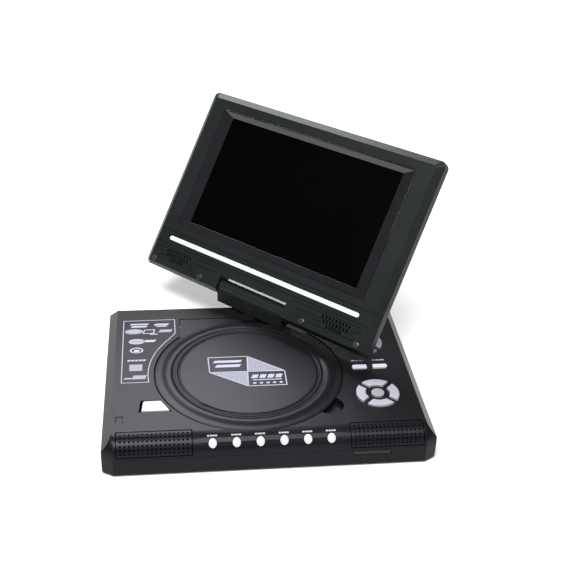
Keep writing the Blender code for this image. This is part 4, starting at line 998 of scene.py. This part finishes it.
class PLAYER_OT_screen_frame(Operator):
    """Builds the screen's front frame with its chin, vents, grooves and notch"""

    bl_idname = "player.screen_frame"
    bl_label = "Screen Frame"

    def execute(self, context):
        back = -1.0 * MM
        rings = [
            screen_ring(SCREEN_FRONT, 5.5 * MM, 2.75 * MM),
            screen_ring(SCREEN_FRONT + 4.5 * MM, 0),
            screen_ring(back, 0),
        ]
        frame = shape(loft_into, rings)
        floor = SCREEN_FRONT + 2.2 * MM
        hollow = shape(loft_into, [screen_ring(y, 6 * MM, 4.95 * MM) for y in (floor, back + MM)])
        block = shape(box_into, (-38.5 * MM, SCREEN_FRONT, -8 * MM), (38.5 * MM, SCREEN_BACK, 10.1 * MM))
        combined(frame, combined(hollow, block, "DIFFERENCE"), "DIFFERENCE")
        half, low, high = PICTURE_HALF + 10.5 * MM, PICTURE_LOW - 6.4 * MM, PICTURE_HIGH + 5.4 * MM
        opening = [rectangle_ring(y, half, low, high) for y in (SCREEN_FRONT - MM, floor + MM)]
        combined(frame, shape(loft_into, opening), "DIFFERENCE")
        notch_low = (-34.3 * MM, SCREEN_FRONT - MM, -8 * MM)
        notch = shape(box_into, notch_low, (34.3 * MM, SCREEN_BACK, 7.9 * MM))
        combined(frame, notch, "DIFFERENCE")
        combined(frame, self.grooves(), "DIFFERENCE")
        combined(frame, self.vents(), "DIFFERENCE")
        stands_for = ["screen_front_frame"]
        dressed(frame, screen_material(), "screen", "screen_shell", stands_for, SCREEN_PLACE, 0.3 * MM, 2, 30)
        return {"FINISHED"}

    def grooves(self):
        """The strip's seat, two lines beside it, the pads' seats and the outlines round the vents."""
        builder = bmesh.new()
        front, deep = SCREEN_FRONT - MM, SCREEN_FRONT + 0.7 * MM
        seat = stadium(-100 * MM, 100 * MM, 18.4 * MM, 23.6 * MM)
        loft_into(builder, [[(x, y, z) for x, z in seat] for y in (front, SCREEN_FRONT + 0.9 * MM)])
        for z in (15.3 * MM, 27.0 * MM):
            box_into(builder, (-109.6 * MM, front, z - 0.35 * MM), (109.6 * MM, deep, z + 0.35 * MM))
        for x in PADS.values():
            spot = circle(3.1 * MM, (x * MM, PAD_Z), 24)
            loft_into(builder, [[(a, y, b) for a, b in spot] for y in (front, SCREEN_FRONT + 0.6 * MM)])
        for side in (-1, 1):
            for start, end, low, high in ((40, 104.5, 7.9, 12.5), (61, 101.5, 1.2, 4.9)):
                left, right = (start, end) if side > 0 else (-end, -start)
                self.outline_groove(builder, left * MM, right * MM, low * MM, high * MM, side, front, deep)
        return meshed("grooves", builder)

    def outline_groove(self, builder, left, right, low, high, side, front, deep):
        """A thin groove along a bar's outline, open at the inner end, so it is one bent line."""
        width = 0.6 * MM
        shapes = []
        for grow in (width / 2, -width / 2):
            radius = (high - low) / 2 + grow
            middle = (high + low) / 2
            end = right if side > 0 else left
            centre = end - side * (high - low) / 2
            start = left if side > 0 else right
            run = [(start, middle + radius)]
            for i in range(9):
                angle = math.radians(90 - 180 * i / 8)
                run.append((centre + side * radius * math.cos(angle), middle + radius * math.sin(angle)))
            run.append((start, middle - radius))
            shapes.append(run)
        outline = shapes[0] + shapes[1][::-1]
        loft_into(builder, [[(x, y, z) for x, z in outline] for y in (front, deep)])

    def vents(self):
        """Rows of small upright slots through the chin at both ends."""
        builder = bmesh.new()
        rows = ((10.2, 69.5, 95.0, 9), (6.5, 71.7, 93.6, 8), (3.1, 76.0, 89.0, 6))
        for side in (-1, 1):
            for z, start, end, count in rows:
                for i in range(count):
                    x = side * (start + (end - start) * i / (count - 1))
                    low = ((x - 0.75) * MM, SCREEN_FRONT - MM, (z - 1.15) * MM)
                    box_into(builder, low, ((x + 0.75) * MM, SCREEN_FRONT + 3 * MM, (z + 1.15) * MM))
        return meshed("vents", builder)


class PLAYER_OT_picture(Operator):
    """Builds the glossy mitred surround and finishes the display"""

    bl_idname = "player.picture"
    bl_label = "Picture and Surround"

    def execute(self, context):
        front, deep = SCREEN_FRONT, SCREEN_FRONT + 2.05 * MM
        back = SCREEN_FRONT + 2.3 * MM
        outer = (PICTURE_HALF + 10.2 * MM, PICTURE_LOW - 6.1 * MM, PICTURE_HIGH + 5.1 * MM)
        crest = (outer[0] - 0.9 * MM, outer[1] + 0.9 * MM, outer[2] - 0.9 * MM)
        inner = (PICTURE_HALF, PICTURE_LOW, PICTURE_HIGH)
        section = [
            (back, outer), (front - 0.1 * MM, outer), (front - 0.3 * MM, crest), (deep, inner), (back, inner),
        ]
        builder = bmesh.new()
        rings = [[builder.verts.new(p) for p in rectangle_ring(y, *sizes_of)] for y, sizes_of in section]
        for lower, upper in zip(rings, rings[1:] + rings[:1]):
            for i in range(4):
                j = (i + 1) % 4
                builder.faces.new((lower[i], lower[j], upper[j], upper[i]))
        about = ("screen", "panel", ["screen_front_frame"], SCREEN_PLACE, 0.12 * MM, 2, 20)
        finished("picture_surround", builder, gloss_material(), *about)
        panel = NODES["display_panel"]
        panel.data.materials.clear()
        dark = moulded(
            "unlit display", (0.0004, 0.0004, 0.0005), 0.5, grain=0.0012, bump=0.02, mottle=0.2,
            Specular_IOR_Level=0.02,
        )
        panel.data.materials.append(dark)
        return {"FINISHED"}


class PLAYER_OT_trim(Operator):
    """Builds the silver strip and the domed rubber pads on the chin"""

    bl_idname = "player.trim"
    bl_label = "Trim and Pads"

    def execute(self, context):
        builder = bmesh.new()
        rings = []
        for y, inset in ((0.6, 0), (-0.1, 0), (-0.3, 0.12), (-0.42, 0.45)):
            half = (98.4 - inset) * MM
            outline = stadium(-half, half, (19.1 + inset) * MM, (22.9 - inset) * MM)
            rings.append([(x, SCREEN_FRONT + y * MM, z) for x, z in outline])
        loft_into(builder, rings)
        silver = brushed("silver strip", colours().trim, 0.30, 0.25, turn=SCREEN_PLACE.to_euler())
        finished("trim_strip", builder, silver, "screen", "trim", ["silver_strip"], SCREEN_PLACE, sharp=60)
        domes = ((2.8, 0.5), (2.8, -0.35), (2.65, -0.65), (2.2, -0.85), (1.4, -0.95), (0, -1.0))
        surface = moulded("pad", (0.025, 0.029, 0.027), 0.33, grain=0.0008, bump=0.15)
        for name, x in PADS.items():
            builder = bmesh.new()
            lathe_into(builder, [(r * MM, -y * MM) for r, y in domes], sides=32)
            place = screen_spot(x * MM, SCREEN_FRONT, PAD_Z, 90)
            about = ("screen", "rubber", [f"screen_pad_{name}"], place)
            finished(f"pad_{name}", builder, surface, *about)
        return {"FINISHED"}


class PLAYER_OT_hinge(Operator):
    """Finishes the screen's back and the swivel block, its pin and its retaining ring"""

    bl_idname = "player.hinge"
    bl_label = "Hinge and Screen Back"

    def execute(self, context):
        dressed_node("screen_rear_cover", screen_material(), sizes().edge)
        satin = moulded(
            "satin hinge", colours().screen, 0.27, grain=0.0008, bump=0.1, Specular_IOR_Level=0.5,
            Specular_Tint=(0.9, 0.86, 1.0, 1),
        )
        dressed_node("swivel_block", satin, sizes().edge)
        for name in ("swivel_retainer", "tilt_hinge_pin"):
            dressed_node(name, steel_material())
        return {"FINISHED"}


class PLAYER_OT_screws(Operator):
    """Adds the cross-headed screws in the screen's back"""

    bl_idname = "player.screws"
    bl_label = "Screws"

    def execute(self, context):
        head = ((2.3, 0), (2.3, 0.3), (2.0, 0.42), (0, 0.5))
        places = ((-104, 147), (104, 147), (-104, 8), (104, 8))
        for i, (x, z) in enumerate(places):
            screw = shape(lathe_into, [(r * MM, (h - 0.02) * MM) for r, h in head], (0, 0), 28)
            for turn in (0, 90):
                slot = shape(box_into, (-1.5 * MM, -0.28 * MM, 0.16 * MM), (1.5 * MM, 0.28 * MM, MM))
                slot.data.transform(Matrix.Rotation(math.radians(turn), 4, "Z"))
                combined(screw, slot, "DIFFERENCE")
            place = screen_spot(x * MM, SCREEN_BACK, z * MM, -90)
            dressed(screw, steel_material(), "screen", "steel", place=place)
            screw.name = f"back_screw_{i + 1}"
        return {"FINISHED"}


class PLAYER_OT_inside(Operator):
    """Finishes the disc drive, boards, battery, speakers, sockets and switch"""

    bl_idname = "player.inside"
    bl_label = "Inside"

    def execute(self, context):
        finishes = {
            "steel": (steel_material, (
                "drive_chassis", "spindle_motor", "guide_rail_front", "guide_rail_rear", "sled_motor",
                "lead_screw", "lid_hinge_pin", "card_socket",
            )),
            "board": (board_material, ("main_board", "key_board", "screen_board")),
            "inner": (inner_material, (
                "disc_turntable", "pickup_sled", "dc_socket", "headphone_socket", "power_switch",
            )),
        }
        for make, names in finishes.values():
            for name in names:
                dressed_node(name, make(), 0.15 * MM)
        cone = moulded("paper cone", (0.02, 0.02, 0.02), 0.9, grain=0.0009, bump=0.8)
        lens = moulded("pickup lens", (0.10, 0.16, 0.30), 0.06, grain=0.004, bump=0.02, Coat_Weight=1.0)
        wrap = moulded("shrink wrap", (0.05, 0.10, 0.26), 0.35, grain=0.004, bump=0.4)
        others = {"battery_pack": wrap, "speaker_left": cone, "speaker_right": cone, "pickup_lens": lens}
        for name, surface in others.items():
            dressed_node(name, surface, 0.15 * MM)
        return {"FINISHED"}


class PLAYER_OT_stage(Operator):
    """Sets the pale floor, the soft lights and the camera"""

    bl_idname = "player.stage"
    bl_label = "Studio"

    def execute(self, context):
        self.floor()
        self.lights()
        self.camera()
        return {"FINISHED"}

    def floor(self):
        builder = bmesh.new()
        low = SOLID_BOX[0][2]
        box_into(builder, (-4, -4, low - 0.02), (4, 4, low))
        ground = meshed("studio_floor", builder)
        paint = moulded("studio paint", (0.86, 0.86, 0.86), 0.8, grain=0.01, bump=0.02, mottle=0.01)
        ground.data.materials.append(paint)

    def lights(self):
        world = bpy.data.worlds.new("studio")
        world.use_nodes = True
        world.node_tree.nodes["Background"].inputs["Color"].default_value = (1, 1, 1, 1)
        world.node_tree.nodes["Background"].inputs["Strength"].default_value = 0.17
        bpy.context.scene.world = world
        view = bpy.context.scene.view_settings
        view.view_transform = "Standard"
        overhead = bpy.data.lights.new("overhead", "SUN")
        overhead.energy = 3.0
        overhead.angle = math.radians(34)
        made = bpy.data.objects.new("overhead", overhead)
        made.rotation_euler = Vector((0.06, 0.44, -0.9)).to_track_quat("-Z", "Y").to_euler()
        bpy.context.scene.collection.objects.link(made)
        lamps = (
            ("rear", (-0.12, 1.08, 1.08), (-0.05, -0.03, 0), 0.6, 0.45, 13),
            ("front", (-0.28, -0.42, 1.0), (-0.10, -0.08, 0), 0.45, 0.2, 7),
        )
        for name, place, target, width, height, power in lamps:
            lamp = bpy.data.lights.new(name, "AREA")
            lamp.shape = "RECTANGLE"
            lamp.size, lamp.size_y, lamp.energy = width, height, power
            made = bpy.data.objects.new(name, lamp)
            made.location = place
            direction = Vector(target) - Vector(place)
            made.rotation_euler = direction.to_track_quat("-Z", "Y").to_euler()
            bpy.context.scene.collection.objects.link(made)

    def camera(self):
        place = Vector((-68.5, -625.3, 472.9)) * MM
        target = Vector((33.8, 112.5, 27)) * MM
        roll = math.radians(2.54)
        forward = (target - place).normalized()
        right = forward.cross(Vector((0, 0, 1))).normalized()
        up = right.cross(forward)
        image_right = right * math.cos(roll) + up * math.sin(roll)
        image_up = up * math.cos(roll) - right * math.sin(roll)
        turn = Matrix((image_right, image_up, -forward)).transposed()
        lens = bpy.data.cameras.new("studio_camera")
        lens.sensor_width = 36
        lens.lens = 61.94
        lens.clip_start = 0.01
        made = bpy.data.objects.new("studio_camera", lens)
        made.matrix_world = Matrix.Translation(place) @ turn.to_4x4()
        bpy.context.scene.collection.objects.link(made)
        bpy.context.scene.camera = made


class PLAYER_PT_sidebar(Panel):
    """Lists the player's pieces and what can be changed"""

    bl_idname = "PLAYER_PT_sidebar"
    bl_label = "Disc Player"
    bl_space_type = "VIEW_3D"
    bl_region_type = "UI"
    bl_category = "Disc Player"

    def draw(self, context):
        for group in (context.scene.player_colours, context.scene.player_sizes):
            for name in group.__annotations__:
                self.layout.prop(group, name)
        for operator in OPERATORS:
            self.layout.operator(operator.bl_idname)


OPERATORS = (
    PLAYER_OT_housing,
    PLAYER_OT_lid,
    PLAYER_OT_grilles,
    PLAYER_OT_front_keys,
    PLAYER_OT_ring_keys,
    PLAYER_OT_bar_keys,
    PLAYER_OT_printing,
    PLAYER_OT_screen_frame,
    PLAYER_OT_picture,
    PLAYER_OT_trim,
    PLAYER_OT_hinge,
    PLAYER_OT_screws,
    PLAYER_OT_inside,
    PLAYER_OT_stage,
)
CLASSES = (PlayerColours, PlayerSizes, *OPERATORS, PLAYER_PT_sidebar)


def register():
    for item in CLASSES:
        bpy.utils.register_class(item)
    bpy.types.Scene.player_colours = PointerProperty(type=PlayerColours)
    bpy.types.Scene.player_sizes = PointerProperty(type=PlayerSizes)


def unregister():
    del bpy.types.Scene.player_sizes
    del bpy.types.Scene.player_colours
    for item in reversed(CLASSES):
        bpy.utils.unregister_class(item)


def main():
    register()
    for operator in OPERATORS:
        group, name = operator.bl_idname.split(".")
        getattr(getattr(bpy.ops, group), name)()


if __name__ == "__main__":
    main()
